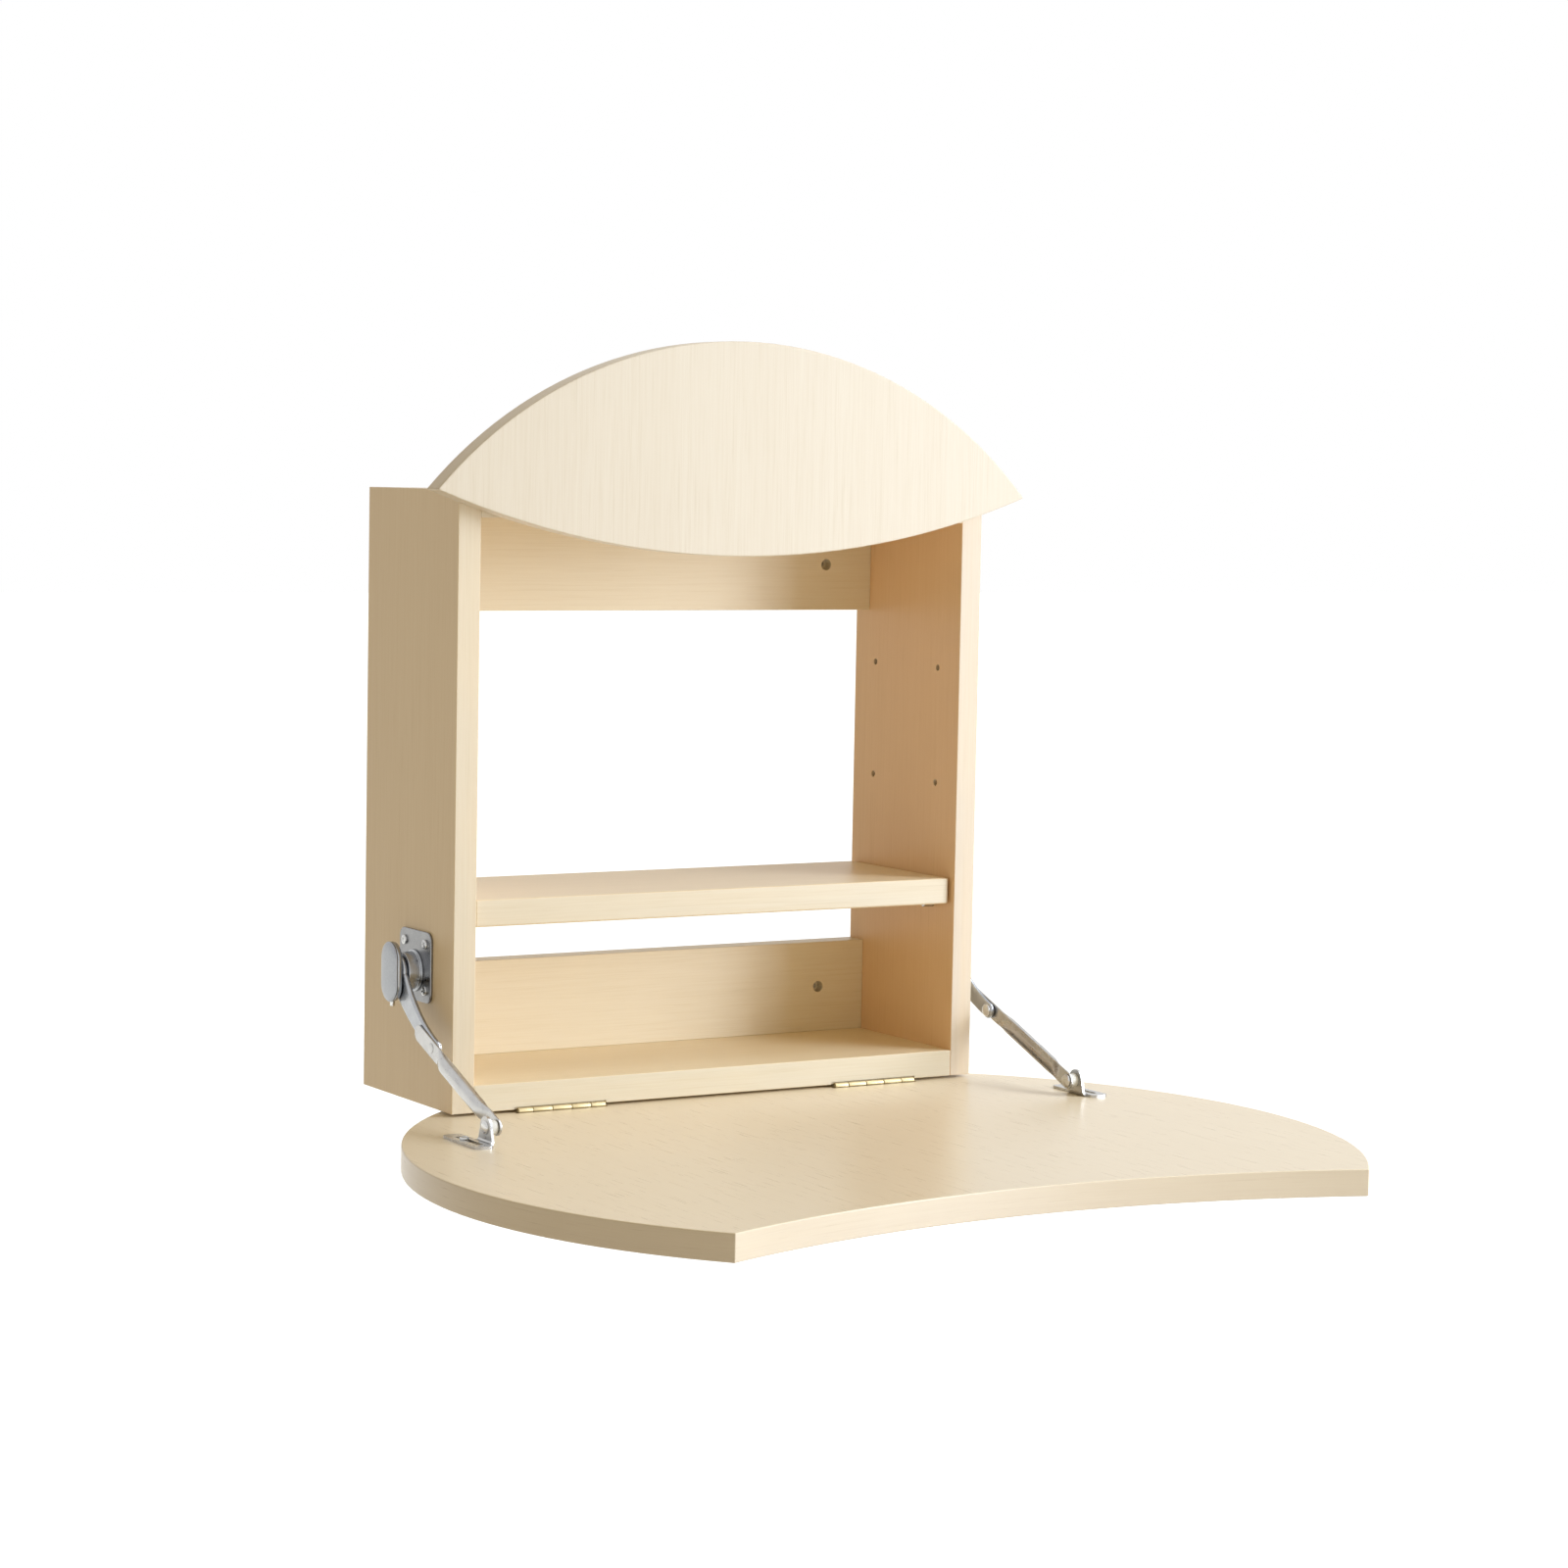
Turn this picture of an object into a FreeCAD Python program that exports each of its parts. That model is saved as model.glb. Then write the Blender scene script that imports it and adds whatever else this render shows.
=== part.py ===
"""Fold-down wall desk: a shallow open cabinet whose round front folds down as a writing leaf.

Frame: millimetres, X to the right, Y from the room towards the wall, Z up. The wall face of the
cabinet is the plane Y = 0, and the origin is the middle of its four wall screws, which is also the
centre of the round front when the leaf is folded up. The model stands with its leaf folded down.

The front is one disc cut in two along an arc: the crest stays on the cabinet, and the leaf turns on
two butt hinges under the cabinet's front edge. A stay on each side holds the leaf level: a damper
drum on the cabinet's side, a bowed short arm that turns between its hub and its drum, a knee, and a
long arm pressed to a half-round section, which runs on behind the knee and ends on the leaf's bracket.
"""

import FreeCAD
import Part
import Sketcher
import math
import os
import re

# Driving dimensions, in millimetres: name, size, what it measures.
SIZES = [
    ("cabinet_width", 450, "cabinet, over its two side panels"),
    ("cabinet_height", 450, "cabinet, top to bottom"),
    ("cabinet_depth", 150, "cabinet, wall to front edge"),
    ("side_thickness", 18, "side panels"),
    ("deck_thickness", 20, "top and bottom panels"),
    ("rail_thickness", 20, "back rails"),
    ("rail_height", 72, "back rails"),
    ("board_round", 0.6, "rounding of the boards' edges"),
    ("shelf_thickness", 20, "shelf"),
    ("shelf_depth", 140, "shelf, front to back"),
    ("shelf_setback", 5, "shelf's front edge behind the cabinet's"),
    ("shelf_end_gap", 2, "gap at each end of the shelf"),
    ("shelf_rise", 114.5, "clear height under the shelf"),
    ("shelf_round", 1.5, "rounding of the shelf's edges"),
    ("pin_radius", 2.5, "shelf pins and their holes"),
    ("pin_hole_depth", 9, "shelf pin holes"),
    ("pin_reach", 9, "shelf pins, out of the side panel"),
    ("pin_front_inset", 30, "front row of shelf pins behind the front edge"),
    ("pin_row_distance", 90, "front row of shelf pins to back row"),
    ("spare_row_rise", 2, "lower spare holes above the cabinet's middle"),
    ("spare_row_distance", 90, "lower spare holes to upper ones"),
    ("dowel_radius", 4, "dowels"),
    ("dowel_length", 30, "dowels"),
    ("dowel_bite", 10, "dowels, depth in the side panels and in the crest"),
    ("dowel_inset", 28, "outer dowels from the long edges of a deck"),
    ("rail_dowel_inset", 16, "dowels from the edges of a rail"),
    ("crest_dowel_offset", 60, "inner dowels of the crest from the middle"),
    ("crest_dowel_distance", 90, "inner dowels of the crest to outer ones"),
    ("wall_hole_spacing", 330, "wall screws, left to right"),
    ("wall_hole_radius", 2.5, "wall screw holes"),
    ("wall_sink_radius", 4.5, "counterbores of the wall screws"),
    ("wall_sink_depth", 8, "counterbores of the wall screws"),
    ("disc_radius", 337, "round front"),
    ("disc_thickness", 19, "crest and leaf"),
    ("disc_round", 1, "rounding of the crest's and leaf's edges"),
    ("crest_drop", 46, "crest's lowest point below the cabinet's top"),
    ("crest_arc_radius", 706, "lower edge of the crest"),
    ("seam_gap", 2, "gap between crest and leaf when the leaf is up"),
    ("hinge_gap", 2, "gap between cabinet and leaf"),
    ("hinge_offset", 136, "middle of the cabinet to the middle of each hinge"),
    ("hinge_length", 72, "hinges, along their pins"),
    ("hinge_plate_width", 24, "hinge plates behind the pin"),
    ("hinge_plate_thickness", 0.8, "hinge plates"),
    ("hinge_end_barrel", 12, "outer barrels of a hinge"),
    ("barrel_radius", 2.5, "hinge barrels"),
    ("barrel_gap", 0.3, "gap between neighbouring barrels"),
    ("hinge_pin_radius", 1.2, "hinge pins"),
    ("hinge_pin_play", 0.06, "moving barrels round the hinge pin"),
    ("mortise_play", 0.5, "room round a hinge's barrels in the wood"),
    ("mortise_end_play", 2, "room past each end of a hinge in the wood"),
    ("hinge_screw_inset", 14, "hinge screws behind the pin"),
    ("hinge_screw_pitch", 24, "hinge screw to hinge screw"),
    ("flat_head_radius", 2.8, "countersunk screws"),
    ("flat_head_height", 1.5, "countersunk screws"),
    ("screw_radius", 1.4, "wood screws' shanks"),
    ("screw_length", 13, "wood screws under the head face"),
    ("pan_head_radius", 3.6, "pan-head screws"),
    ("pan_head_height", 2.2, "pan-head screws"),
    ("drum_depth", 60, "damper axis behind the front edge"),
    ("drum_height", 98, "damper axis above the cabinet's underside"),
    ("knee_depth", 3, "knee in front of the front edge"),
    ("knee_height", 50, "knee above the cabinet's underside"),
    ("pivot_reach", 107, "leaf pivot in front of the front edge"),
    ("pivot_height", 11.5, "leaf pivot above the leaf"),
    ("stay_plate_thickness", 2, "stay's mounting plate"),
    ("stay_plate_width", 52, "stay's mounting plate, front to back"),
    ("stay_plate_height", 52, "stay's mounting plate, up and down"),
    ("stay_plate_corner", 7, "corners of the mounting plate"),
    ("plate_shift_front", 1, "plate's middle in front of the damper axis"),
    ("plate_shift_up", 4, "plate's middle above the damper axis"),
    ("plate_screw_spacing", 34, "plate screws, front to back and up and down"),
    ("hub_radius", 14, "hub between plate and short arm"),
    ("hub_height", 10.5, "hub between plate and short arm"),
    ("hub_foot_radius", 15.5, "flange of the hub on the plate"),
    ("hub_foot_height", 1.6, "flange of the hub on the plate"),
    ("axle_radius", 5, "axle of the damper"),
    ("axle_play", 0.08, "turning pieces round the axle"),
    ("running_gap", 0.3, "gap between faces that pass each other"),
    ("arm_thickness", 4, "short arm"),
    ("arm_head_radius", 12.5, "round head of the short arm"),
    ("arm_back_bow", 4, "bow of the short arm's lower edge"),
    ("arm_front_bow", 7.5, "bow of the short arm's upper edge"),
    ("eye_radius", 6.5, "rounded ends at the knee and the leaf pivot"),
    ("rivet_radius", 3, "rivets of the knee and the leaf pivot"),
    ("rivet_play", 0.08, "long arm's eye round its leaf pivot"),
    ("rivet_head_radius", 5, "rivet heads"),
    ("rivet_head_height", 1.8, "rivet heads"),
    ("peened_radius", 3.8, "outer end of the knee's rivet"),
    ("peened_height", 0.7, "outer end of the knee's rivet"),
    ("drum_width", 26, "damper drum and its cap, front to back"),
    ("drum_reach", 22, "damper axis to the drum's upper and lower ends"),
    ("drum_wall", 1, "damper drum's walls"),
    ("drum_length", 4.4, "damper drum, along its axis"),
    ("sleeve_radius", 8, "rotor's sleeve through the drum's inner wall"),
    ("rotor_gap", 0.4, "rotor inside the drum"),
    ("cap_rise", 2.6, "drum's cap above its rim"),
    ("cap_round", 1.2, "rounding of the cap's edges"),
    ("cap_spigot_radius", 6.5, "spigot of the cap round the axle's end"),
    ("adjuster_radius", 1.8, "damper's adjusting screw"),
    ("adjuster_head", 3.5, "adjusting screw outside the drum"),
    ("adjuster_bite", 6, "adjusting screw inside the drum"),
    ("strip_thickness", 1.5, "long arm's steel"),
    ("strip_width", 12.5, "long arm"),
    ("tab_length", 9, "flat ends of the long arm past their eyes"),
    ("knee_overrun", 22, "long arm's round end behind the knee"),
    ("bead_run_in", 18, "length in which the long arm takes its round section"),
    ("spacer_length", 6, "spacer between long arm and bracket"),
    ("bracket_thickness", 2, "leaf bracket"),
    ("bracket_bend", 1.5, "inner radius of the bend between the bracket's foot and ear"),
    ("ear_radius", 8, "top of the bracket's ear"),
    ("ear_base", 22, "foot of the bracket's ear"),
    ("foot_width", 18, "bracket's foot, across"),
    ("foot_front", 19, "bracket's foot in front of the pivot"),
    ("foot_back", 36, "bracket's foot behind the pivot"),
    ("foot_corner", 4, "corners of the bracket's foot"),
    ("slot_radius", 2.4, "slot in the bracket's foot"),
    ("slot_front", 9, "slot's front end in front of the pivot"),
    ("slot_back", 23, "slot's back end behind the pivot"),
    ("foot_screw_back", 14, "screw in the foot's slot behind the pivot"),
]

# Places and sizes worked out from the driving ones.
DERIVED = {
    "half_width": "cabinet_width / 2",
    "half_height": "cabinet_height / 2",
    "inner_half": "half_width - side_thickness",
    "rail_middle": "half_height - deck_thickness - rail_height / 2",
    "shelf_bottom": "-half_height + deck_thickness + shelf_rise",
    "shelf_front": "-cabinet_depth + shelf_setback",
    "shelf_half": "inner_half - shelf_end_gap",
    "pin_front": "-cabinet_depth + pin_front_inset",
    "pin_height": "shelf_bottom - pin_radius",
    "arc_centre": "half_height - crest_drop + crest_arc_radius",
    "tip_height": "(disc_radius ^ 2 - crest_arc_radius ^ 2 + arc_centre ^ 2) / (2 * arc_centre)",
    "crest_half_chord": "sqrt(disc_radius ^ 2 - tip_height ^ 2)",
    "leaf_arc_radius": "crest_arc_radius + seam_gap",
    "leaf_tip_reach": "(disc_radius ^ 2 - leaf_arc_radius ^ 2 + arc_centre ^ 2) / (2 * arc_centre)",
    "leaf_tip_half": "sqrt(disc_radius ^ 2 - leaf_tip_reach ^ 2)",
    "axis_y": "-cabinet_depth - hinge_gap / 2",
    "axis_z": "-half_height - hinge_gap / 2",
    "leaf_top": "-half_height - hinge_gap",
    "leaf_centre": "axis_y + axis_z",
    "barrel_room": "barrel_radius + mortise_play",
    "inner_barrel": "(hinge_length - 2 * hinge_end_barrel) / 3",
    "drum_y": "-cabinet_depth + drum_depth",
    "drum_z": "-half_height + drum_height",
    "knee_y": "-cabinet_depth - knee_depth",
    "knee_z": "-half_height + knee_height",
    "pivot_y": "-cabinet_depth - pivot_reach",
    "pivot_z": "leaf_top + pivot_height",
    "short_arm_length": "sqrt((knee_y - drum_y) ^ 2 + (knee_z - drum_z) ^ 2)",
    "long_arm_length": "sqrt((pivot_y - knee_y) ^ 2 + (pivot_z - knee_z) ^ 2)",
    "arm_in": "stay_plate_thickness + hub_height + running_gap",
    "arm_out": "arm_in + arm_thickness",
    "strip_in": "arm_out + running_gap",
    "strip_out": "strip_in + strip_thickness",
    "spacer_in": "strip_out + running_gap",
    "ear_in": "spacer_in + spacer_length",
    "ear_out": "ear_in + bracket_thickness",
    "drum_in": "arm_out + running_gap",
    "drum_out": "drum_in + drum_length",
    "rotor_in": "drum_in + drum_wall + rotor_gap",
    "axle_end": "drum_out - drum_wall",
    "rotor_out": "axle_end - rotor_gap",
    "plate_y": "drum_y - plate_shift_front",
    "plate_z": "drum_z + plate_shift_up",
    "chamber_radius": "drum_width / 2 - drum_wall",
    "bend_reach": "bracket_bend + bracket_thickness",
}

WORD = re.compile(r"[a-z_]+")
NAMES = {name for name, size, meaning in SIZES}
HALF_ROUND = "half round"
PLANES = {"XY": "XY_Plane", "XZ": "XZ_Plane", "YZ": "YZ_Plane"}

# Middle line of the slot in the left bracket's foot.
SLOT_LINE = "-half_width - ear_in - (foot_width + bend_reach) / 2"

# How a copied screw is turned: its shank runs along -Z before the turn.
DOWNWARD = FreeCAD.Rotation(FreeCAD.Vector(1, 0, 0), 0)
UPWARD = FreeCAD.Rotation(FreeCAD.Vector(1, 0, 0), 180)
INTO_LEFT_SIDE = FreeCAD.Rotation(FreeCAD.Vector(0, 1, 0), -90)

doc = FreeCAD.newDocument("fold_down_wall_desk")
sheet = doc.addObject("Spreadsheet::Sheet", "dims")


def fill_sheet():
    """Write the driving dimensions into the sheet, one row each, with their names as aliases."""
    for row, (name, size, meaning) in enumerate(SIZES, start=1):
        sheet.set(f"A{row}", name)
        sheet.set(f"B{row}", str(size))
        sheet.set(f"C{row}", meaning)
        sheet.setAlias(f"B{row}", name)
    doc.recompute()


def formula(text):
    """Give text with derived names written out and each driving dimension as a cell of the sheet."""
    longer = WORD.sub(lambda word: f"({DERIVED[word[0]]})" if word[0] in DERIVED else word[0], text)
    if longer != text:
        return formula(longer)
    return WORD.sub(lambda word: f"dims.{word[0]}" if word[0] in NAMES else word[0], text)


def value(text):
    """Work out a formula now, as a plain number."""
    return float(sheet.evalExpression(formula(text)))


def bind(thing, path, text):
    """Tie a property of an object to a formula."""
    thing.setExpression(path, formula(text))


# ---------------------------------------------------------------- sketches and features

def new_body(label):
    """Start an empty body."""
    body = doc.addObject("PartDesign::Body", label)
    body.Label = label
    return body


def new_sketch(body, plane, height="0"):
    """Put a sketch on one of the body's own origin planes, moved along its normal by height."""
    sketch = body.newObject("Sketcher::SketchObject", f"{body.Name}_sketch")
    support = next(item for item in body.Origin.OriginFeatures if item.Role == PLANES[plane])
    sketch.AttachmentSupport = [(support, "")]
    sketch.MapMode = "FlatFace"
    bind(sketch, "AttachmentOffset.Base.z", height)
    return sketch


def fix(sketch, kind, where, text):
    """Add a dimension to a sketch and tie it to a formula."""
    number = sketch.addConstraint(Sketcher.Constraint(kind, *where, value(text)))
    bind(sketch, f"Constraints[{number}]", text)


def arc_between(start, end, radius, centre_side, large):
    """Make an arc from start to end. The centre lies left (1) or right (-1) of the way it runs."""
    chord = end - start
    rise = math.sqrt(max(radius ** 2 - chord.Length ** 2 / 4, 0)) * (-1 if large else 1) * centre_side
    left = FreeCAD.Vector(-chord.y, chord.x, 0).normalize()
    centre = (start + end) / 2 + left * rise
    first, last = (start, end) if centre_side > 0 else (end, start)
    first_angle = math.atan2(first.y - centre.y, first.x - centre.x)
    last_angle = math.atan2(last.y - centre.y, last.x - centre.x)
    circle = Part.Circle(centre, FreeCAD.Vector(0, 0, 1), radius)
    return Part.ArcOfCircle(circle, first_angle, last_angle + (math.tau if last_angle < first_angle else 0))


def outline(sketch, corners, arcs=None):
    """Draw a closed outline through corners, given anticlockwise as pairs of formulas.

    arcs says which edges are round: the number of the corner that the edge starts from gives its
    radius, the side its centre lies on (1 left, -1 right) and whether it runs more than half round.
    An edge whose radius is HALF_ROUND is a half circle over its two corners, level or upright.
    """
    arcs = arcs or {}
    places = [FreeCAD.Vector(value(x), value(y), 0) for x, y in corners]
    edges = []
    for number, start in enumerate(places):
        end = places[(number + 1) % len(places)]
        if number not in arcs:
            edges.append((sketch.addGeometry(Part.LineSegment(start, end)), 1, 2))
            continue
        radius, centre_side, large = arcs[number]
        length = (end - start).Length / 2 if radius == HALF_ROUND else value(radius)
        edge = sketch.addGeometry(arc_between(start, end, length, centre_side, large))
        edges.append((edge, 1, 2) if centre_side > 0 else (edge, 2, 1))
        if radius != HALF_ROUND:
            fix(sketch, "Radius", (edge,), radius)
            continue
        level = abs(end.x - start.x) > abs(end.y - start.y)
        first, last = (corner[level] for corner in (corners[number], corners[(number + 1) % len(corners)]))
        fix(sketch, "DistanceY" if level else "DistanceX", (-1, 1, edge, 3), f"(({first}) + ({last})) / 2")
    for number, (edge, start, end) in enumerate(edges):
        following, following_start, _ = edges[(number + 1) % len(edges)]
        sketch.addConstraint(Sketcher.Constraint("Coincident", edge, end, following, following_start))
        fix(sketch, "DistanceX", (-1, 1, edge, start), corners[number][0])
        fix(sketch, "DistanceY", (-1, 1, edge, start), corners[number][1])
    return sketch


def rectangle(sketch, left, low, right, high):
    """Draw an upright rectangle."""
    return outline(sketch, [(left, low), (right, low), (right, high), (left, high)])


def round_rectangle(sketch, left, low, right, high, corner):
    """Draw an upright rectangle with round corners."""
    corners = [
        (f"{left} + {corner}", low), (f"{right} - {corner}", low),
        (right, f"{low} + {corner}"), (right, f"{high} - {corner}"),
        (f"{right} - {corner}", high), (f"{left} + {corner}", high),
        (left, f"{high} - {corner}"), (left, f"{low} + {corner}"),
    ]
    return outline(sketch, corners, {edge: (corner, 1, False) for edge in (1, 3, 5, 7)})


def long_hole(sketch, left, low, right, high):
    """Draw an upright outline with half circles below and above its four corners."""
    corners = [(left, low), (right, low), (right, high), (left, high)]
    return outline(sketch, corners, {0: (HALF_ROUND, 1, False), 2: (HALF_ROUND, 1, False)})


def circles(sketch, places, radius):
    """Draw circles of one radius."""
    for x, y in places:
        centre = FreeCAD.Vector(value(x), value(y), 0)
        edge = sketch.addGeometry(Part.Circle(centre, FreeCAD.Vector(0, 0, 1), value(radius)))
        fix(sketch, "Radius", (edge,), radius)
        fix(sketch, "DistanceX", (-1, 1, edge, 3), x)
        fix(sketch, "DistanceY", (-1, 1, edge, 3), y)
    return sketch


def pad(body, sketch, length, reverse=False):
    """Raise a sketch to a solid."""
    feature = body.newObject("PartDesign::Pad", f"{body.Name}_pad")
    feature.Profile = sketch
    bind(feature, "Length", length)
    feature.Reversed = reverse
    sketch.Visibility = False
    return feature


def pocket(body, sketch, length=None, reverse=False):
    """Cut a sketch out of the body, to a length or right through, and check that it cut."""
    doc.recompute()
    before = body.Shape.Volume
    feature = body.newObject("PartDesign::Pocket", f"{body.Name}_pocket")
    feature.Profile = sketch
    if length is None:
        feature.Type = "ThroughAll"
    else:
        bind(feature, "Length", length)
    feature.Reversed = reverse
    doc.recompute()
    if body.Shape.Volume > before - 0.001:
        raise RuntimeError(f"a pocket in {body.Label} cuts nothing")
    return feature


def turn(body, sketch):
    """Turn a profile all round the sketch's horizontal axis."""
    feature = body.newObject("PartDesign::Revolution", f"{body.Name}_turned")
    feature.Profile = sketch
    feature.ReferenceAxis = (sketch, ["H_Axis"])
    feature.Angle = 360
    return feature


def round_edges(body, feature, radius):
    """Round every edge of a feature."""
    fillet = body.newObject("PartDesign::Fillet", f"{body.Name}_round")
    fillet.Base = (feature, [""])
    fillet.UseAllEdges = True
    bind(fillet, "Radius", radius)
    return fillet


# ---------------------------------------------------------------- finished pieces

pieces = []


def finish(thing, label=None):
    """Take an object into the list of pieces that are written out, under its node's name."""
    if label:
        thing.Label = label
    pieces.append(thing)
    return thing


def group(label, members):
    """Gather separate solids into one object."""
    gathered = doc.addObject("Part::Compound", label)
    gathered.Links = members
    return gathered


def cut_by(label, base, tools):
    """Bore, slot or mortise a piece with the pieces that sit in it."""
    cut = doc.addObject("Part::Cut", label)
    cut.Base = base
    cut.Tool = tools[0] if len(tools) == 1 else group(f"{label}_tools", tools)
    return cut


def mirrored(label, source):
    """Give the right-hand twin of a left-hand piece."""
    twin = doc.addObject("Part::Mirroring", label)
    twin.Source = source
    twin.Normal = FreeCAD.Vector(1, 0, 0)
    twin.Base = FreeCAD.Vector(0, 0, 0)
    return twin


def both_sides(name, left):
    """Finish a left-hand piece and its right-hand twin, and give both."""
    right = mirrored(f"right_{name}", left)
    return finish(left, f"left_{name}"), finish(right, f"right_{name}")


def cylinder(label, places, axis, radius, length):
    """Make a cylinder that starts at a place given by formulas and runs along axis."""
    rod = doc.addObject("Part::Cylinder", label)
    rod.Placement = FreeCAD.Placement(FreeCAD.Vector(), FreeCAD.Rotation(FreeCAD.Vector(0, 0, 1), axis))
    for letter, place in zip("xyz", places):
        bind(rod, f"Placement.Base.{letter}", place)
    bind(rod, "Radius", radius)
    bind(rod, "Height", length)
    return rod


def block(label, low, high):
    """Make a box between two corners given by formulas."""
    box = doc.addObject("Part::Box", label)
    for side, letter, start, end in zip(("Length", "Width", "Height"), "xyz", low, high):
        bind(box, f"Placement.Base.{letter}", start)
        bind(box, side, f"({end}) - ({start})")
    return box


def copies(label, master, places, rotation):
    """Set copies of a master solid at places given by formulas."""
    doc.recompute()
    solids = []
    for place in places:
        solid = master.Shape.copy()
        spot = FreeCAD.Placement(FreeCAD.Vector(*(value(text) for text in place)), rotation)
        solid.Placement = spot.multiply(master.Placement)
        solids.append(solid)
    placed = doc.addObject("Part::Feature", label)
    placed.Shape = Part.makeCompound(solids)
    return placed


def screw_master(label, profile, arcs=None):
    """Turn a screw, head at the origin and shank along -Z, from a profile of (depth, radius)."""
    body = new_body(label)
    turn(body, outline(new_sketch(body, "XZ"), profile, arcs))
    body.Placement.Rotation = FreeCAD.Rotation(FreeCAD.Vector(0, 1, 0), 90)
    return body


# ---------------------------------------------------------------- cabinet

def carcass_dowels():
    """Make the dowels that hold decks and rails between the side panels."""
    deck = "half_height - deck_thickness / 2"
    back = "-rail_thickness / 2"
    spread = "rail_middle + rail_height / 2 - rail_dowel_inset"
    narrow = "rail_middle - rail_height / 2 + rail_dowel_inset"
    rows = ("-cabinet_depth + dowel_inset", "-dowel_inset")
    seats = [(y, f"{sign} ({deck})") for sign in ("", "-1 *") for y in rows]
    seats += [(back, f"{sign} ({z})") for sign in ("", "-1 *") for z in (spread, narrow)]
    starts = ("-inner_half - dowel_bite", "inner_half + dowel_bite - dowel_length")
    rods = [
        cylinder("carcass_dowel", (start, y, z), FreeCAD.Vector(1, 0, 0), "dowel_radius", "dowel_length")
        for start in starts for y, z in seats
    ]
    return finish(group("carcass_dowels", rods))


def crest_dowels():
    """Make the dowels between the crest and the front edge of the top panel."""
    offsets = ("crest_dowel_offset", "crest_dowel_offset + crest_dowel_distance")
    start, middle = "-cabinet_depth - dowel_bite", "half_height - deck_thickness / 2"
    rods = [
        cylinder(
            "crest_dowel", (f"{sign} ({x})", start, middle),
            FreeCAD.Vector(0, 1, 0), "dowel_radius", "dowel_length",
        )
        for sign in ("", "-1 *") for x in offsets
    ]
    return finish(group("crest_dowels", rods))


def shelf_pins():
    """Make the four pins that the shelf lies on."""
    rods = [
        cylinder(
            "shelf_pin", (x, y, "pin_height"), FreeCAD.Vector(1, 0, 0),
            "pin_radius", "pin_hole_depth + pin_reach",
        )
        for x in ("-inner_half - pin_hole_depth", "inner_half - pin_reach")
        for y in ("pin_front", "pin_front + pin_row_distance")
    ]
    return finish(group("shelf_pins", rods))


def side_panels(fittings):
    """Make the two side panels, bored for dowels, pins and screws and with spare pin holes inside."""
    body = new_body("side_panel")
    sketch = new_sketch(body, "YZ", "-half_width")
    face = rectangle(sketch, "-cabinet_depth", "-half_height", "0", "half_height")
    round_edges(body, pad(body, face, "side_thickness"), "board_round")
    rows = ("spare_row_rise", "spare_row_rise + spare_row_distance")
    spares = [(y, z) for y in ("pin_front", "pin_front + pin_row_distance") for z in rows]
    holes = circles(new_sketch(body, "YZ", "-inner_half"), spares, "pin_radius")
    pocket(body, holes, "pin_hole_depth")
    both_sides("side_panel", cut_by("left_side_panel", body, fittings))


def deck(label, low, fittings):
    """Make a horizontal panel between the side panels, whose underside is at low."""
    body = new_body(f"{label}_board")
    board = rectangle(new_sketch(body, "XY", low), "-inner_half", "-cabinet_depth", "inner_half", "0")
    round_edges(body, pad(body, board, "deck_thickness"), "board_round")
    return finish(cut_by(label, body, fittings), label)


def rail(label, middle, dowels):
    """Make a back rail with two counterbored holes for the wall screws."""
    body = new_body(f"{label}_board")
    low, high = f"{middle} - rail_height / 2", f"{middle} + rail_height / 2"
    board = rectangle(new_sketch(body, "XZ"), "-inner_half", low, "inner_half", high)
    round_edges(body, pad(body, board, "rail_thickness"), "board_round")
    places = [(f"{sign}wall_hole_spacing / 2", middle) for sign in ("", "-")]
    pocket(body, circles(new_sketch(body, "XZ", "rail_thickness"), places, "wall_hole_radius"))
    sinks = circles(new_sketch(body, "XZ", "rail_thickness"), places, "wall_sink_radius")
    pocket(body, sinks, "wall_sink_depth")
    finish(cut_by(label, body, [dowels]), label)


def crest_panel(dowels):
    """Make the fixed upper part of the round front, a lens between the disc and a flatter arc."""
    body = new_body("crest_board")
    tips = [("-crest_half_chord", "tip_height"), ("crest_half_chord", "tip_height")]
    arcs = {0: ("crest_arc_radius", 1, False), 1: ("disc_radius", 1, False)}
    lens = outline(new_sketch(body, "XZ", "cabinet_depth"), tips, arcs)
    round_edges(body, pad(body, lens, "disc_thickness"), "disc_round")
    finish(cut_by("crest_panel", body, [dowels]), "crest_panel")


def shelf():
    """Make the shelf, which lies loose on its pins."""
    body = new_body("shelf")
    board = rectangle(
        new_sketch(body, "XY", "shelf_bottom"), "-shelf_half", "shelf_front",
        "shelf_half", "shelf_front + shelf_depth",
    )
    round_edges(body, pad(body, board, "shelf_thickness"), "shelf_round")
    finish(body)


def leaf_panel(fittings):
    """Make the writing leaf: the rest of the disc, hollowed at its front edge to meet the crest."""
    body = new_body("leaf_board")
    tip_y = "leaf_centre - leaf_tip_reach"
    tips = [("-leaf_tip_half", tip_y), ("leaf_tip_half", tip_y)]
    arcs = {0: ("leaf_arc_radius", -1, False), 1: ("disc_radius", 1, True)}
    disc = outline(new_sketch(body, "XY", "leaf_top - disc_thickness"), tips, arcs)
    round_edges(body, pad(body, disc, "disc_thickness"), "disc_round")
    finish(cut_by("leaf_panel", body, fittings), "leaf_panel")


# ---------------------------------------------------------------- hinges

def barrel_starts():
    """Give the five barrels of a hinge as (start, end) along its pin, from its outer end."""
    marks = ["0", "hinge_end_barrel"]
    marks += [f"hinge_end_barrel + {count} * inner_barrel" for count in (1, 2, 3)]
    marks.append("hinge_length")
    outer = "-hinge_offset - hinge_length / 2"
    return [(f"{outer} + {start}", f"{outer} + {end}") for start, end in zip(marks, marks[1:])]


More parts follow.
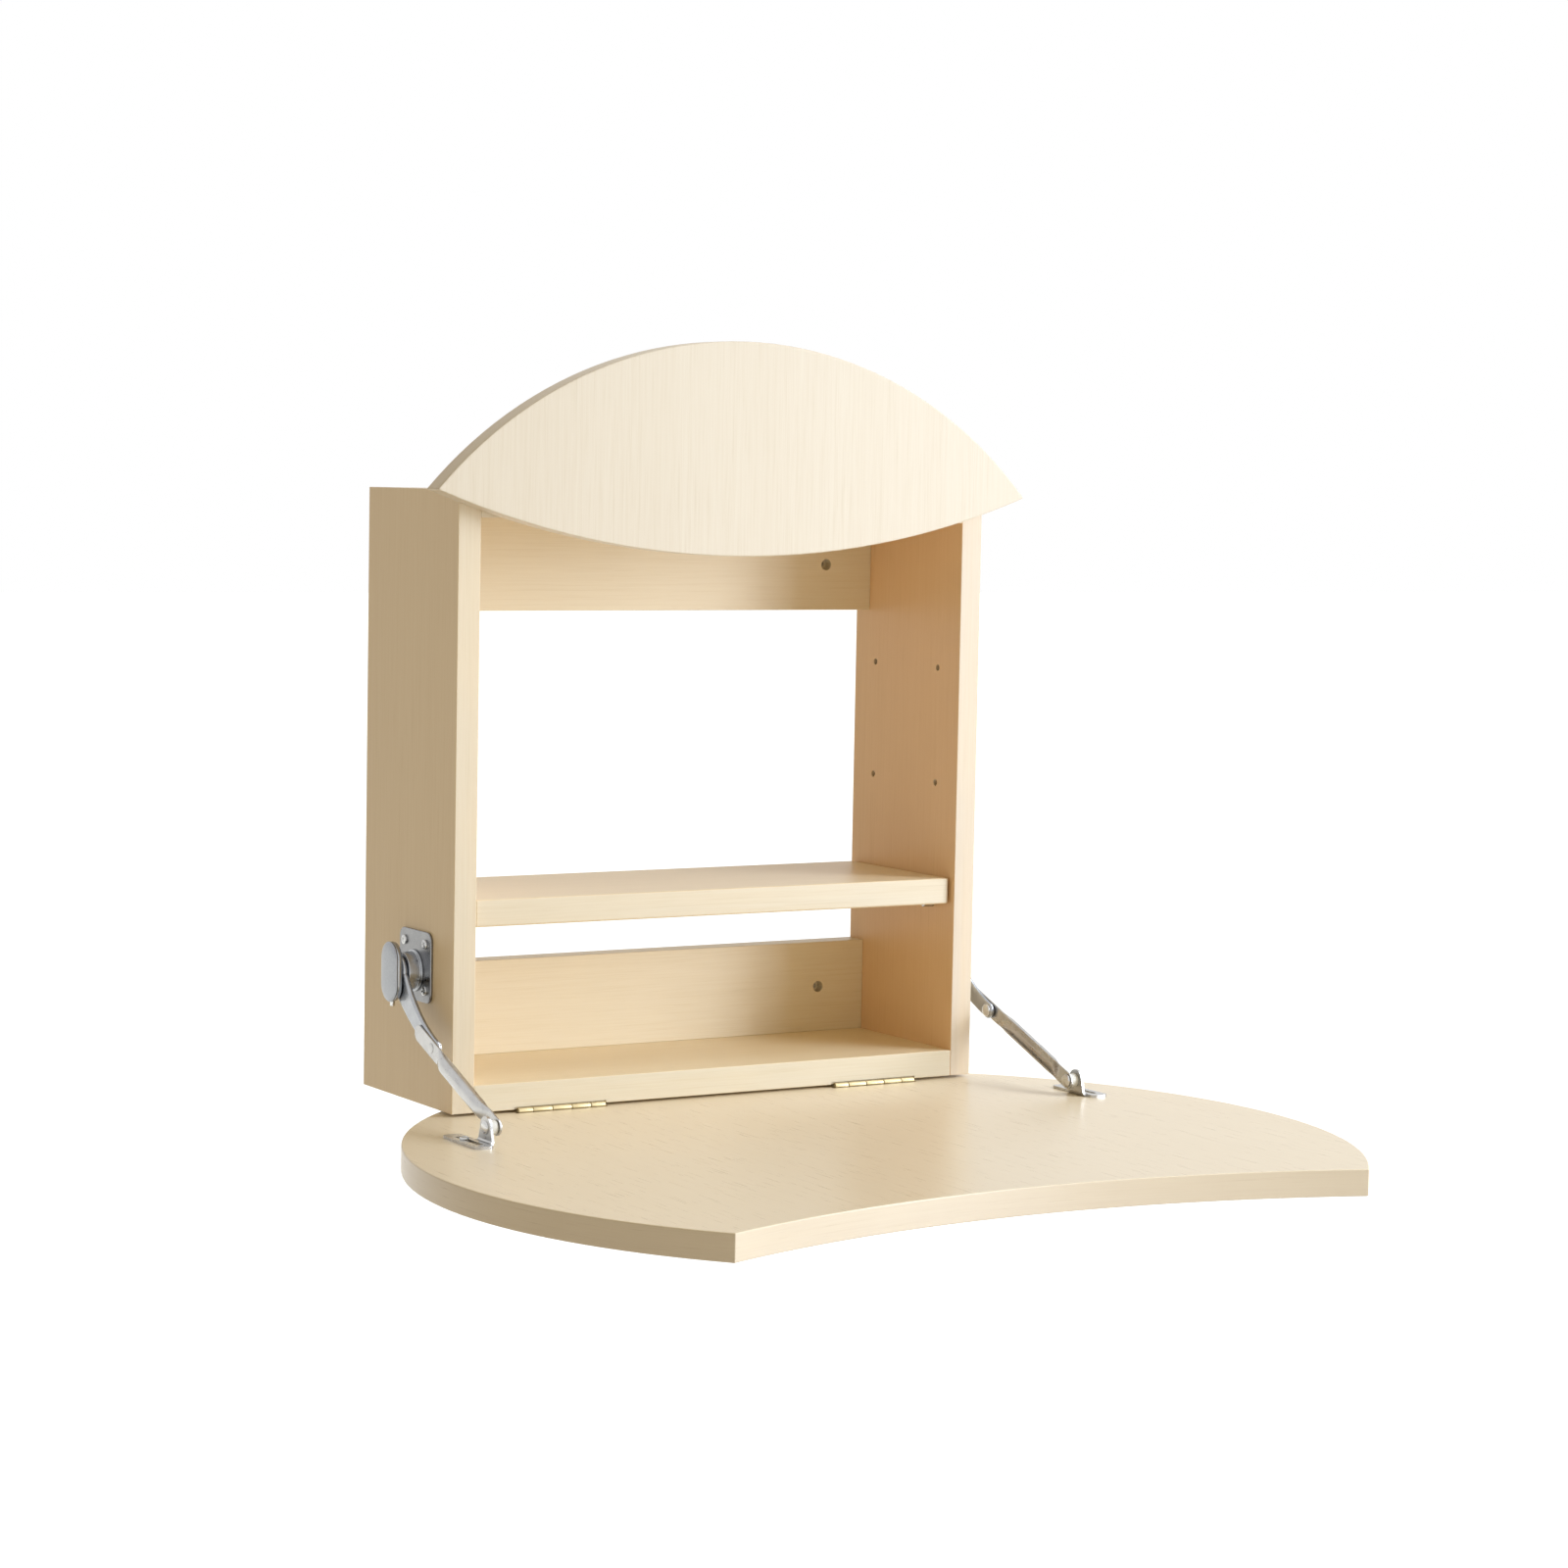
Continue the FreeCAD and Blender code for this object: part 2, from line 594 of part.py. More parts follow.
def hinge_plate(label, barrels, low, play, screws):
    """Make one plate of the left hinge with its barrels, bored for the pin and for its screws."""
    spans = [barrel_starts()[number] for number in barrels]
    first, last = "-hinge_offset - hinge_length / 2", "-hinge_offset + hinge_length / 2"
    back = "axis_y + hinge_plate_width"
    plate = block(f"{label}_sheet", (first, "axis_y", low), (last, back, f"{low} + hinge_plate_thickness"))
    notches = [
        block(
            f"{label}_notch", (f"{start} - barrel_gap", "axis_y - barrel_room", f"{low} - barrel_radius"),
            (f"{end} + barrel_gap", "axis_y + barrel_room", f"{low} + barrel_radius"),
        )
        for number, (start, end) in enumerate(barrel_starts()) if number not in barrels
    ]
    rods = [
        cylinder(
            f"{label}_barrel", (f"{start} + barrel_gap / 2", "axis_y", "axis_z"),
            FreeCAD.Vector(1, 0, 0), "barrel_radius", f"({end}) - ({start}) - barrel_gap",
        )
        for start, end in spans
    ]
    leaf = doc.addObject("Part::MultiFuse", f"{label}_curled")
    leaf.Shapes = [cut_by(f"{label}_comb", plate, notches)] + rods
    bore = cylinder(
        f"{label}_bore", (first, "axis_y", "axis_z"), FreeCAD.Vector(1, 0, 0),
        f"hinge_pin_radius + {play}", "hinge_length",
    )
    return cut_by(label, leaf, [bore, screws])


def hinge_screws(label, master, face, rotation):
    """Set the three screws of one plate of the left hinge in a row behind the pin."""
    places = [
        (f"-hinge_offset + {step} * hinge_screw_pitch", "axis_y + hinge_screw_inset", face)
        for step in (-1, 0, 1)
    ]
    return copies(label, master, places, rotation)


def mortise(label, low, high):
    """Make the room that the left hinge's barrels need in the wood between two heights."""
    end = "(hinge_length / 2 + mortise_end_play)"
    return block(
        label, (f"-hinge_offset - {end}", "axis_y - barrel_room", low),
        (f"-hinge_offset + {end}", "axis_y + barrel_room", high),
    )


def hinges(flat_screw):
    """Make both hinges with pins and screws, and give what must be cut out of cabinet and leaf."""
    fixed_low = "-half_height - hinge_plate_thickness"
    fixed_screws = hinge_screws("hinge_fixed_screws", flat_screw, fixed_low, UPWARD)
    moving_screws = hinge_screws(
        "hinge_moving_screws", flat_screw, "leaf_top + hinge_plate_thickness", DOWNWARD,
    )
    fixed = hinge_plate("hinge_fixed_plate", (0, 2, 4), fixed_low, "0", fixed_screws)
    moving = hinge_plate("hinge_moving_plate", (1, 3), "leaf_top", "hinge_pin_play", moving_screws)
    pin = cylinder(
        "hinge_pin", ("-hinge_offset - hinge_length / 2", "axis_y", "axis_z"),
        FreeCAD.Vector(1, 0, 0), "hinge_pin_radius", "hinge_length",
    )
    both_sides("hinge_fixed_plate", fixed)
    both_sides("hinge_moving_plate", moving)
    both_sides("hinge_pin", pin)
    cabinet_notch = mortise("cabinet_mortise", "-half_height - barrel_radius", "axis_z + barrel_room")
    leaf_notch = mortise("leaf_mortise", "axis_z - barrel_room", "axis_z + barrel_radius")
    cabinet_notches = (cabinet_notch, mirrored("right_notch", cabinet_notch))
    leaf_notches = (leaf_notch, mirrored("right_groove", leaf_notch))
    in_cabinet = [*both_sides("hinge_fixed_screws", fixed_screws), *cabinet_notches]
    in_leaf = [*both_sides("hinge_moving_screws", moving_screws), *leaf_notches]
    return in_cabinet, in_leaf


# ---------------------------------------------------------------- stays

def turned(label, y, z, profile, arcs=None):
    """Turn a piece about an axis along X. The profile gives (distance out of the side, radius)."""
    body = new_body(label)
    turn(body, outline(new_sketch(body, "XZ"), profile, arcs))
    body.Placement.Rotation = FreeCAD.Rotation(FreeCAD.Vector(0, 0, 1), 180)
    bind(body, "Placement.Base.x", "-half_width")
    bind(body, "Placement.Base.y", y)
    bind(body, "Placement.Base.z", z)
    return body


def outward(body, sketch, thickness):
    """Raise a sketch on the YZ plane away from the cabinet's left side."""
    return pad(body, sketch, thickness, reverse=True)


def at_side(distance):
    """Give the height of a YZ sketch at a distance out of the cabinet's left side."""
    return f"-half_width - ({distance})"


def stay_plate(screws):
    """Make the plate that the stay is screwed to the side panel with."""
    body = new_body("stay_plate_blank")
    wide, tall = "stay_plate_width / 2", "stay_plate_height / 2"
    face = round_rectangle(
        new_sketch(body, "YZ", at_side("0")), f"plate_y - {wide}", f"plate_z - {tall}",
        f"plate_y + {wide}", f"plate_z + {tall}", "stay_plate_corner",
    )
    outward(body, face, "stay_plate_thickness")
    return cut_by("stay_plate", body, [screws])


def plate_screws(master):
    """Set the four pan-head screws of the left mounting plate."""
    half = "plate_screw_spacing / 2"
    places = [
        (at_side("stay_plate_thickness"), f"plate_y {side} {half}", f"plate_z {level} {half}")
        for side in "+-" for level in "+-"
    ]
    return copies("stay_plate_screws", master, places, INTO_LEFT_SIDE)


def damper_hub():
    """Turn the hub: a flange on the plate, a boss that carries the arm, and the axle in one piece."""
    top = "stay_plate_thickness + hub_height"
    foot = "stay_plate_thickness + hub_foot_height"
    return turned("damper_hub", "drum_y", "drum_z", [
        ("stay_plate_thickness", "0"), ("axle_end", "0"), ("axle_end", "axle_radius"), (top, "axle_radius"),
        (top, "hub_radius"), (foot, "hub_radius"), (foot, "hub_foot_radius"),
        ("stay_plate_thickness", "hub_foot_radius"),
    ])


def drum_outline(body, distance):
    """Draw the drum's outline at a distance out of the side panel."""
    half = "drum_width / 2"
    return long_hole(
        new_sketch(body, "YZ", at_side(distance)), f"drum_y - {half}", f"drum_z - drum_reach + {half}",
        f"drum_y + {half}", f"drum_z + drum_reach - {half}",
    )


def damper_drum(adjuster):
    """Make the drum: an upright casting with a round chamber, open outwards, and a mouth for the sleeve."""
    body = new_body("damper_casting")
    outward(body, drum_outline(body, "drum_in"), "drum_length")
    middle = [("drum_y", "drum_z")]
    chamber = circles(new_sketch(body, "YZ", at_side("drum_in + drum_wall")), middle, "chamber_radius")
    pocket(body, chamber, "drum_length - drum_wall")
    mouth = circles(new_sketch(body, "YZ", at_side("drum_in")), middle, "sleeve_radius + running_gap")
    pocket(body, mouth, "drum_wall")
    return cut_by("damper_drum", body, [adjuster])


def damper_cap():
    """Make the rounded cap of the drum, which sits on its rim and on the axle's end."""
    body = new_body("damper_cap")
    round_edges(body, outward(body, drum_outline(body, "drum_out"), "cap_rise"), "cap_round")
    rim = at_side("drum_out")
    spigot = circles(new_sketch(body, "YZ", rim), [("drum_y", "drum_z")], "cap_spigot_radius")
    pad(body, spigot, "drum_wall")
    return body


def damper_rotor():
    """Turn the rotor: a sleeve pressed to the short arm and a disc that shears the grease."""
    disc = "chamber_radius - rotor_gap"
    bore = "axle_radius + axle_play"
    return turned("damper_rotor", "drum_y", "drum_z", [
        ("arm_out", bore), ("rotor_out", bore), ("rotor_out", disc), ("rotor_in", disc),
        ("rotor_in", "sleeve_radius"), ("arm_out", "sleeve_radius"),
    ])


def damper_adjuster():
    """Make the adjusting screw in the drum's lower end."""
    middle, head = at_side("drum_in + drum_length / 2"), "drum_z - drum_reach - adjuster_head"
    return cylinder(
        "damper_adjuster", (middle, "drum_y", head), FreeCAD.Vector(0, 0, 1),
        "adjuster_radius", "adjuster_head + adjuster_bite",
    )


def bowed(bow):
    """Give the radius of an edge of the short arm by its bow."""
    chord = "(short_arm_length ^ 2 + (arm_head_radius - eye_radius) ^ 2)"
    return f"({chord} / 4 + {bow} ^ 2) / (2 * {bow})"


def short_arm():
    """Make the short arm: a round head behind the drum and a bowed strap, tapering to the knee."""
    body = new_body("short_arm")
    inner_face = at_side("arm_in")
    head = circles(new_sketch(body, "YZ", inner_face), [("drum_y", "drum_z")], "arm_head_radius")
    outward(body, head, "arm_thickness")
    across = ("-(knee_z - drum_z) / short_arm_length", "(knee_y - drum_y) / short_arm_length")
    corners = [
        (f"{end}_y {sign} {radius} * ({across[0]})", f"{end}_z {sign} {radius} * ({across[1]})")
        for end, radius, sign in (
            ("drum", "arm_head_radius", "-"), ("knee", "eye_radius", "-"),
            ("knee", "eye_radius", "+"), ("drum", "arm_head_radius", "+"),
        )
    ]
    bows = {0: (bowed("arm_front_bow"), -1, False), 2: (bowed("arm_back_bow"), 1, False)}
    outward(body, outline(new_sketch(body, "YZ", inner_face), corners, bows), "arm_thickness")
    eye = circles(new_sketch(body, "YZ", inner_face), [("knee_y", "knee_z")], "eye_radius")
    outward(body, eye, "arm_thickness")
    bore = circles(new_sketch(body, "YZ", inner_face), [("drum_y", "drum_z")], "axle_radius + axle_play")
    pocket(body, bore, "arm_thickness")
    rivet_hole = circles(new_sketch(body, "YZ", inner_face), [("knee_y", "knee_z")], "rivet_radius")
    pocket(body, rivet_hole, "arm_thickness")
    return body


def dome(rise, radius):
    """Give the radius of a dome by its rise and its rim's radius."""
    return f"({radius} ^ 2 + {rise} ^ 2) / (2 * {rise})"


def knee_rivet_inside():
    """Turn the inner half of the knee's rivet: a shank in the short arm and a domed head inside it."""
    return turned("knee_rivet_inside", "knee_y", "knee_z", [
        ("arm_in - rivet_head_height", "0"), ("arm_out", "0"), ("arm_out", "rivet_radius"),
        ("arm_in", "rivet_radius"), ("arm_in", "rivet_head_radius"),
    ], {4: (dome("rivet_head_height", "rivet_head_radius"), 1, False)})


def knee_rivet_outside():
    """Turn the outer half of the knee's rivet: a shank in the long arm and its low peened end."""
    return turned("knee_rivet_outside", "knee_y", "knee_z", [
        ("strip_in", "0"), ("strip_out + peened_height", "0"), ("strip_out", "peened_radius"),
        ("strip_out", "rivet_radius"), ("strip_in", "rivet_radius"),
    ], {1: (dome("peened_height", "peened_radius"), 1, False)})


def long_arm():
    """Make the long arm: a steel strip with flat eyes and a half-round shell pressed between them.

    It is drawn from its knee at the origin towards -Y, with its hollow side on the plane X = 0, and
    then turned to run from the knee to the leaf pivot.
    """
    body = new_body("long_arm_blank")
    half = "strip_width / 2"
    inner = f"({half} - strip_thickness)"
    near = [
        ("-tab_length", f"-{half}"), ("knee_overrun", f"-{half}"),
        ("knee_overrun", half), ("-tab_length", half),
    ]
    far = [
        ("-long_arm_length", f"-{half}"), ("-long_arm_length + tab_length", f"-{half}"),
        ("-long_arm_length + tab_length", half), ("-long_arm_length", half),
    ]
    flat = [("-strip_thickness", half), ("-strip_thickness", f"-{half}"), ("0", f"-{inner}"), ("0", inner)]
    shell = [("0", half), ("0", f"-{half}"), ("0", f"-{inner}"), ("0", inner)]
    shell_arcs = {0: (HALF_ROUND, 1, False), 2: (HALF_ROUND, -1, False)}
    shell_starts = ("tab_length + bead_run_in", "long_arm_length - tab_length - bead_run_in")
    outward(body, outline(new_sketch(body, "YZ"), near, {1: (HALF_ROUND, 1, False)}), "strip_thickness")
    for tab_end, shell_start in zip(("tab_length", "long_arm_length - tab_length"), shell_starts):
        run_in = body.newObject("PartDesign::AdditiveLoft", "long_arm_run_in")
        run_in.Profile = outline(new_sketch(body, "XZ", tab_end), flat)
        run_in.Sections = [outline(new_sketch(body, "XZ", shell_start), shell, shell_arcs)]
        if tab_end == "tab_length":
            middle = outline(new_sketch(body, "XZ", shell_start), shell, shell_arcs)
            pad(body, middle, f"({shell_starts[1]}) - ({shell_starts[0]})")
    outward(body, outline(new_sketch(body, "YZ"), far, {3: (HALF_ROUND, 1, False)}), "strip_thickness")
    pocket(body, circles(new_sketch(body, "YZ"), [("0", "0")], "rivet_radius"), "strip_thickness")
    eye = circles(new_sketch(body, "YZ"), [("-long_arm_length", "0")], "rivet_radius + rivet_play")
    pocket(body, eye, "strip_thickness")
    body.Placement.Rotation = FreeCAD.Rotation(FreeCAD.Vector(1, 0, 0), 20)
    bind(body, "Placement.Base.x", at_side("strip_in"))
    bind(body, "Placement.Base.y", "knee_y")
    bind(body, "Placement.Base.z", "knee_z")
    bind(body, "Placement.Rotation.Angle", "atan2(knee_z - pivot_z; knee_y - pivot_y)")
    return body


def leaf_pivot():
    """Turn the rivet that carries the long arm on the leaf's bracket, with a head at each end."""
    round_head = dome("rivet_head_height", "rivet_head_radius")
    return turned("leaf_pivot", "pivot_y", "pivot_z", [
        ("arm_out - rivet_head_height", "0"), ("ear_out + rivet_head_height", "0"),
        ("ear_out", "rivet_head_radius"), ("ear_out", "rivet_radius"),
        ("arm_out", "rivet_radius"), ("arm_out", "rivet_head_radius"),
    ], {1: (round_head, 1, False), 5: (round_head, 1, False)})


def pivot_bush():
    """Turn the bush that spaces the long arm from the bracket's ear."""
    return turned("pivot_bush", "pivot_y", "pivot_z", [
        ("spacer_in", "rivet_radius"), ("ear_in", "rivet_radius"),
        ("ear_in", "rivet_head_radius"), ("spacer_in", "rivet_head_radius"),
    ])


def leaf_bracket():
    """Make the bracket on the leaf, one bent sheet: an ear for the pivot and a slotted foot."""
    body = new_body("leaf_bracket")
    base = "ear_base / 2"
    bend_top = "leaf_top + bend_reach"
    ear = outline(new_sketch(body, "YZ", at_side("ear_in")), [
        (f"pivot_y - {base}", bend_top), (f"pivot_y + {base}", bend_top),
        ("pivot_y + ear_radius", "pivot_z"), ("pivot_y - ear_radius", "pivot_z"),
    ], {2: (HALF_ROUND, 1, False)})
    outward(body, ear, "bracket_thickness")
    foot_edge = at_side("ear_in + bend_reach")
    bend = outline(new_sketch(body, "XZ", f"-(pivot_y) - {base}"), [
        (at_side("ear_in"), bend_top), (at_side("ear_out"), bend_top),
        (foot_edge, "leaf_top + bracket_thickness"), (foot_edge, "leaf_top"),
    ], {1: ("bracket_bend", -1, False), 3: ("bend_reach", 1, False)})
    pad(body, bend, "ear_base")
    foot = round_rectangle(
        new_sketch(body, "XY", "leaf_top"), at_side("ear_in + foot_width"), "pivot_y - foot_front",
        foot_edge, "pivot_y + foot_back", "foot_corner",
    )
    pad(body, foot, "bracket_thickness")
    slot = long_hole(
        new_sketch(body, "XY", "leaf_top + bracket_thickness"),
        f"{SLOT_LINE} - slot_radius", "pivot_y - slot_front",
        f"{SLOT_LINE} + slot_radius", "pivot_y + slot_back",
    )
    pocket(body, slot, "bracket_thickness")
    hole = circles(new_sketch(body, "YZ", at_side("ear_in")), [("pivot_y", "pivot_z")], "rivet_radius")
    pocket(body, hole, "bracket_thickness")
    return body


def stays(pan_screw):
    """Make both stays and give what must be bored out of the side panels and of the leaf."""
    in_side = plate_screws(pan_screw)
    in_leaf = copies(
        "bracket_screw", pan_screw,
        [(SLOT_LINE, "pivot_y + foot_screw_back", "leaf_top + bracket_thickness")], DOWNWARD,
    )
    adjuster = damper_adjuster()
    left_pieces = {
        "stay_plate": stay_plate(in_side),
        "damper_hub": damper_hub(),
        "damper_drum": damper_drum(adjuster),
        "damper_cap": damper_cap(),
        "damper_rotor": damper_rotor(),
        "damper_adjuster": adjuster,
        "short_arm": short_arm(),
        "knee_rivet_inside": knee_rivet_inside(),
        "long_arm": long_arm(),
        "knee_rivet_outside": knee_rivet_outside(),
        "leaf_pivot": leaf_pivot(),
        "pivot_bush": pivot_bush(),
        "leaf_bracket": leaf_bracket(),
    }
    for name, left in left_pieces.items():
        both_sides(name, left)
    return list(both_sides("plate_screws", in_side)), list(both_sides("bracket_screw", in_leaf))


# ---------------------------------------------------------------- the whole desk

def check_document():
    """Stop if any feature failed or any piece is empty or broken."""
    doc.recompute()
    for thing in doc.Objects:
        if "Invalid" in thing.State or "Error" in thing.State:
            raise RuntimeError(f"{thing.Label} failed: {thing.State}")
    for piece in pieces:
        if piece.Shape.isNull() or not piece.Shape.isValid():
            raise RuntimeError(f"{piece.Label} has no sound shape")


def write_pieces():
    """Write each piece to a file of its own."""
    os.makedirs("parts", exist_ok=True)
    for piece in pieces:
        piece.Shape.exportStep(f"parts/{piece.Label}.step")


def main():
    """Build the desk, check it and write it out."""
    fill_sheet()
    flat_screw = screw_master("flat_screw", [
        ("0", "0"), ("screw_length", "0"), ("screw_length - screw_radius", "screw_radius"),
        ("flat_head_height", "screw_radius"), ("0", "flat_head_radius"),
    ])
    pan_screw = screw_master("pan_screw", [
        ("-pan_head_height", "0"), ("screw_length", "0"), ("screw_length - screw_radius", "screw_radius"),
        ("0", "screw_radius"), ("0", "pan_head_radius"),
    ], {4: (dome("pan_head_height", "pan_head_radius"), 1, False)})
    dowels = carcass_dowels()
    crest_pegs = crest_dowels()
    pins = shelf_pins()
    under_cabinet, hinge_seats_in_leaf = hinges(flat_screw)
    side_screws, foot_screws = stays(pan_screw)
    side_panels([dowels, pins, side_screws[0]])
    deck("top_panel", "half_height - deck_thickness", [dowels, crest_pegs])
    deck("bottom_panel", "-half_height", [dowels, *under_cabinet])
    rail("top_rail", "rail_middle", dowels)
    rail("bottom_rail", "-rail_middle", dowels)
    crest_panel(crest_pegs)
    shelf()
    leaf_panel([*hinge_seats_in_leaf, *foot_screws])
    check_document()
    write_pieces()


main()
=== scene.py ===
"""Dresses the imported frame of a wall-hung cabinet whose round front folds down as a writing leaf.

The boards stay as the frame gives them and get their wood here. The hinges, the damped stays and
the shelf pins are worked out as surfaces and stand for the frame's nodes of the same pieces.

Lengths in the classes are in millimetres, in the frame's axes: X to the right, Y to the wall and Z
up. A piece of one side is worked out with its distance from the middle plane in place of X, so
that one set of numbers serves left and right, and is put into metres where its mesh is made.
"""

import logging
import math
from dataclasses import dataclass, replace
from enum import Enum
from typing import Sequence

import bmesh
import bpy
import numpy as np
from mathutils import Matrix


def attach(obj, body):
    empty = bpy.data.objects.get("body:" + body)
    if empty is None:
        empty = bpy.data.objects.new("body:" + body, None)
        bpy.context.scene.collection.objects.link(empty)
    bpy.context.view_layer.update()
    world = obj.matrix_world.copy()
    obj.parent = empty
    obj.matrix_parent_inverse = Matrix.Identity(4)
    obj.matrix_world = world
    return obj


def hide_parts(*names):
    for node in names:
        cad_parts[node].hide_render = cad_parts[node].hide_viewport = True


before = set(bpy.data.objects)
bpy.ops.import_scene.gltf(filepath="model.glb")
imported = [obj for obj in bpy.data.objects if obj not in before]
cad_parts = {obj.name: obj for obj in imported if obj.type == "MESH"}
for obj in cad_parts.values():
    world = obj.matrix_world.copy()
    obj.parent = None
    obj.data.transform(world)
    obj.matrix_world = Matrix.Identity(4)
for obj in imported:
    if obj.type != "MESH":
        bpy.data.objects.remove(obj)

MM = 0.001
TINY = 1e-12
RUNNING_GAP = 0.3
LOG = logging.getLogger("desk")

Colour = tuple[int, int, int]
Pair = tuple[float, float]
Triple = tuple[float, float, float]
Socket = bpy.types.NodeSocket


class Side(Enum):
    """Which half of the desk a piece belongs to, and its sign along X."""

    LEFT = -1
    RIGHT = 1

    @property
    def tag(self) -> str:
        """The side's name as node names have it."""
        return self.name.lower()


class Axis(Enum):
    """An axis of the frame, by its place in a triple."""

    X = 0
    Y = 1
    Z = 2


class Recess(Enum):
    """The driver recess in a screw's head, by its reach in radii of the head."""

    SLOT = 1.2
    CROSS = 0.62


# ---------------------------------------------------------------- surfaces

@dataclass(frozen=True)
class Patch:
    """A grid of points, rows by columns by three, in millimetres, whose last column joins its first.

    loop joins the last row to the first, and caps closes the first and the last row with one face
    each.
    """

    points: np.ndarray
    loop: bool = False
    caps: bool = False

    def faces(self, first: int) -> list[list[int]]:
        """List the patch's faces.

        Args:
            first: Number of the patch's first point in its mesh.

        Returns:
            Faces as lists of point numbers.
        """
        rows, columns = self.points.shape[:2]
        r, c = np.meshgrid(np.arange(rows if self.loop else rows - 1), np.arange(columns), indexing="ij")
        below, beside = (r + 1) % rows, (c + 1) % columns
        quads = np.stack([
            r * columns + c, r * columns + beside, below * columns + beside, below * columns + c,
        ], axis=-1).reshape(-1, 4) + first
        found = quads.tolist()
        if self.caps:
            found.append((np.arange(columns)[::-1] + first).tolist())
            found.append((np.arange(columns) + (rows - 1) * columns + first).tolist())
        return found


def unit(vectors: np.ndarray) -> np.ndarray:
    """Scale vectors along the last axis to length one."""
    return vectors / np.maximum(np.linalg.norm(vectors, axis=-1, keepdims=True), TINY)


def axes_about(axis: Triple) -> tuple[np.ndarray, np.ndarray, np.ndarray]:
    """Find three directions square to each other.

    Args:
        axis: The first of them, of any length.

    Returns:
        The first direction and two others square to it, of length one.
    """
    first = unit(np.asarray(axis, float))
    is_upright = abs(first[2]) >= 0.9
    second = unit(np.cross(first, (0, 1, 0) if is_upright else (0, 0, 1)))
    return first, second, np.cross(first, second)


def fillet(corners: Sequence[Sequence[float]], radii: float | Sequence[float], steps: int = 8) -> np.ndarray:
    """Round a closed outline's corners with true arcs.

    Each corner becomes the rational quadratic curve between its two tangent points, with the
    corner as its middle point and the sine of half the inner angle as its weight, which is an arc.

    Args:
        corners: Corners in order, as pairs.
        radii: Radius of every corner, or one for each.
        steps: Points of each corner.

    Returns:
        Points of the outline, (corners * steps) by 2.
    """
    longest_share, sharpest = 0.499, 0.9999
    at = np.asarray(corners, float)
    radius = np.broadcast_to(np.asarray(radii, float), len(at))
    back, ahead = np.roll(at, 1, axis=0) - at, np.roll(at, -1, axis=0) - at
    shorter = np.minimum(np.linalg.norm(back, axis=1), np.linalg.norm(ahead, axis=1))
    back, ahead = unit(back), unit(ahead)
    cosine = np.clip((back * ahead).sum(1), -sharpest, sharpest)
    reach = np.minimum(radius * np.sqrt((1 + cosine) / (1 - cosine)), longest_share * shorter)[:, None, None]
    weight = np.sqrt((1 - cosine) / 2)[:, None, None]
    t = np.linspace(0, 1, steps)[None, :, None]
    middle = at[:, None]
    start, end = middle + back[:, None] * reach, middle + ahead[:, None] * reach
    blend = (1 - t) ** 2 * start + 2 * weight * t * (1 - t) * middle + t ** 2 * end
    return (blend / ((1 - t) ** 2 + 2 * weight * t * (1 - t) + t ** 2)).reshape(-1, 2)


def open_fillet(corners: Sequence[Sequence[float]], radius: float, steps: int = 5) -> np.ndarray:
    """Round the inner corners of an open line and keep its two ends.

    Args:
        corners: Corners in order, as pairs.
        radius: Radius of the arcs.
        steps: Points of each arc.

    Returns:
        Points of the line, as pairs.
    """
    rounded = fillet(corners, radius, steps).reshape(len(corners), steps, 2)[1:-1].reshape(-1, 2)
    ends = np.asarray(corners, float)[[0, -1]]
    return np.concatenate([ends[:1], rounded, ends[1:]])


def revolve(
    profile: np.ndarray, place: Triple, axis: Triple = (1, 0, 0), steps: int = 64, loop: bool = False,
) -> Patch:
    """Turn a profile round an axis.

    A point at distance d along the axis and radius r goes to place + d * axis + r * (cos a * b +
    sin a * c), for a all the way round and b, c square to the axis.

    Args:
        profile: Pairs of distance along the axis and radius.
        place: Where distance nought is.
        axis: Direction of the axis.
        steps: Columns round the axis.
        loop: Whether the profile closes on itself.

    Returns:
        The turned surface.
    """
    a, b, c = axes_about(axis)
    angle = np.linspace(0, 2 * math.pi, steps, endpoint=False)
    around = np.cos(angle)[:, None] * b + np.sin(angle)[:, None] * c
    along, radius = profile[:, 0][:, None, None], profile[:, 1][:, None, None]
    return Patch(np.asarray(place, float) + along * a + radius * around[None], loop=loop)


def inset(outline: np.ndarray, depth: float) -> np.ndarray:
    """Move a closed outline inwards, each point along the mean normal of its two edges.

    Args:
        outline: Points of a counterclockwise outline, as pairs.
        depth: How far it moves.

    Returns:
        The moved outline.
    """
    run = unit(np.roll(outline, -1, axis=0) - np.roll(outline, 1, axis=0))
    return outline + depth * np.stack([-run[:, 1], run[:, 0]], axis=1)


def counterclockwise(outline: np.ndarray) -> np.ndarray:
    """Turn an outline round if its signed area is negative, and drop points that repeat.

    Args:
        outline: Points of a closed outline, as pairs.

    Returns:
        The points, counterclockwise.
    """
    closest = 1e-4
    kept = outline[np.linalg.norm(outline - np.roll(outline, 1, axis=0), axis=1) > closest]
    after = np.roll(kept, -1, axis=0)
    area = (kept[:, 0] * after[:, 1] - kept[:, 1] * after[:, 0]).sum()
    return kept if area > 0 else kept[::-1]


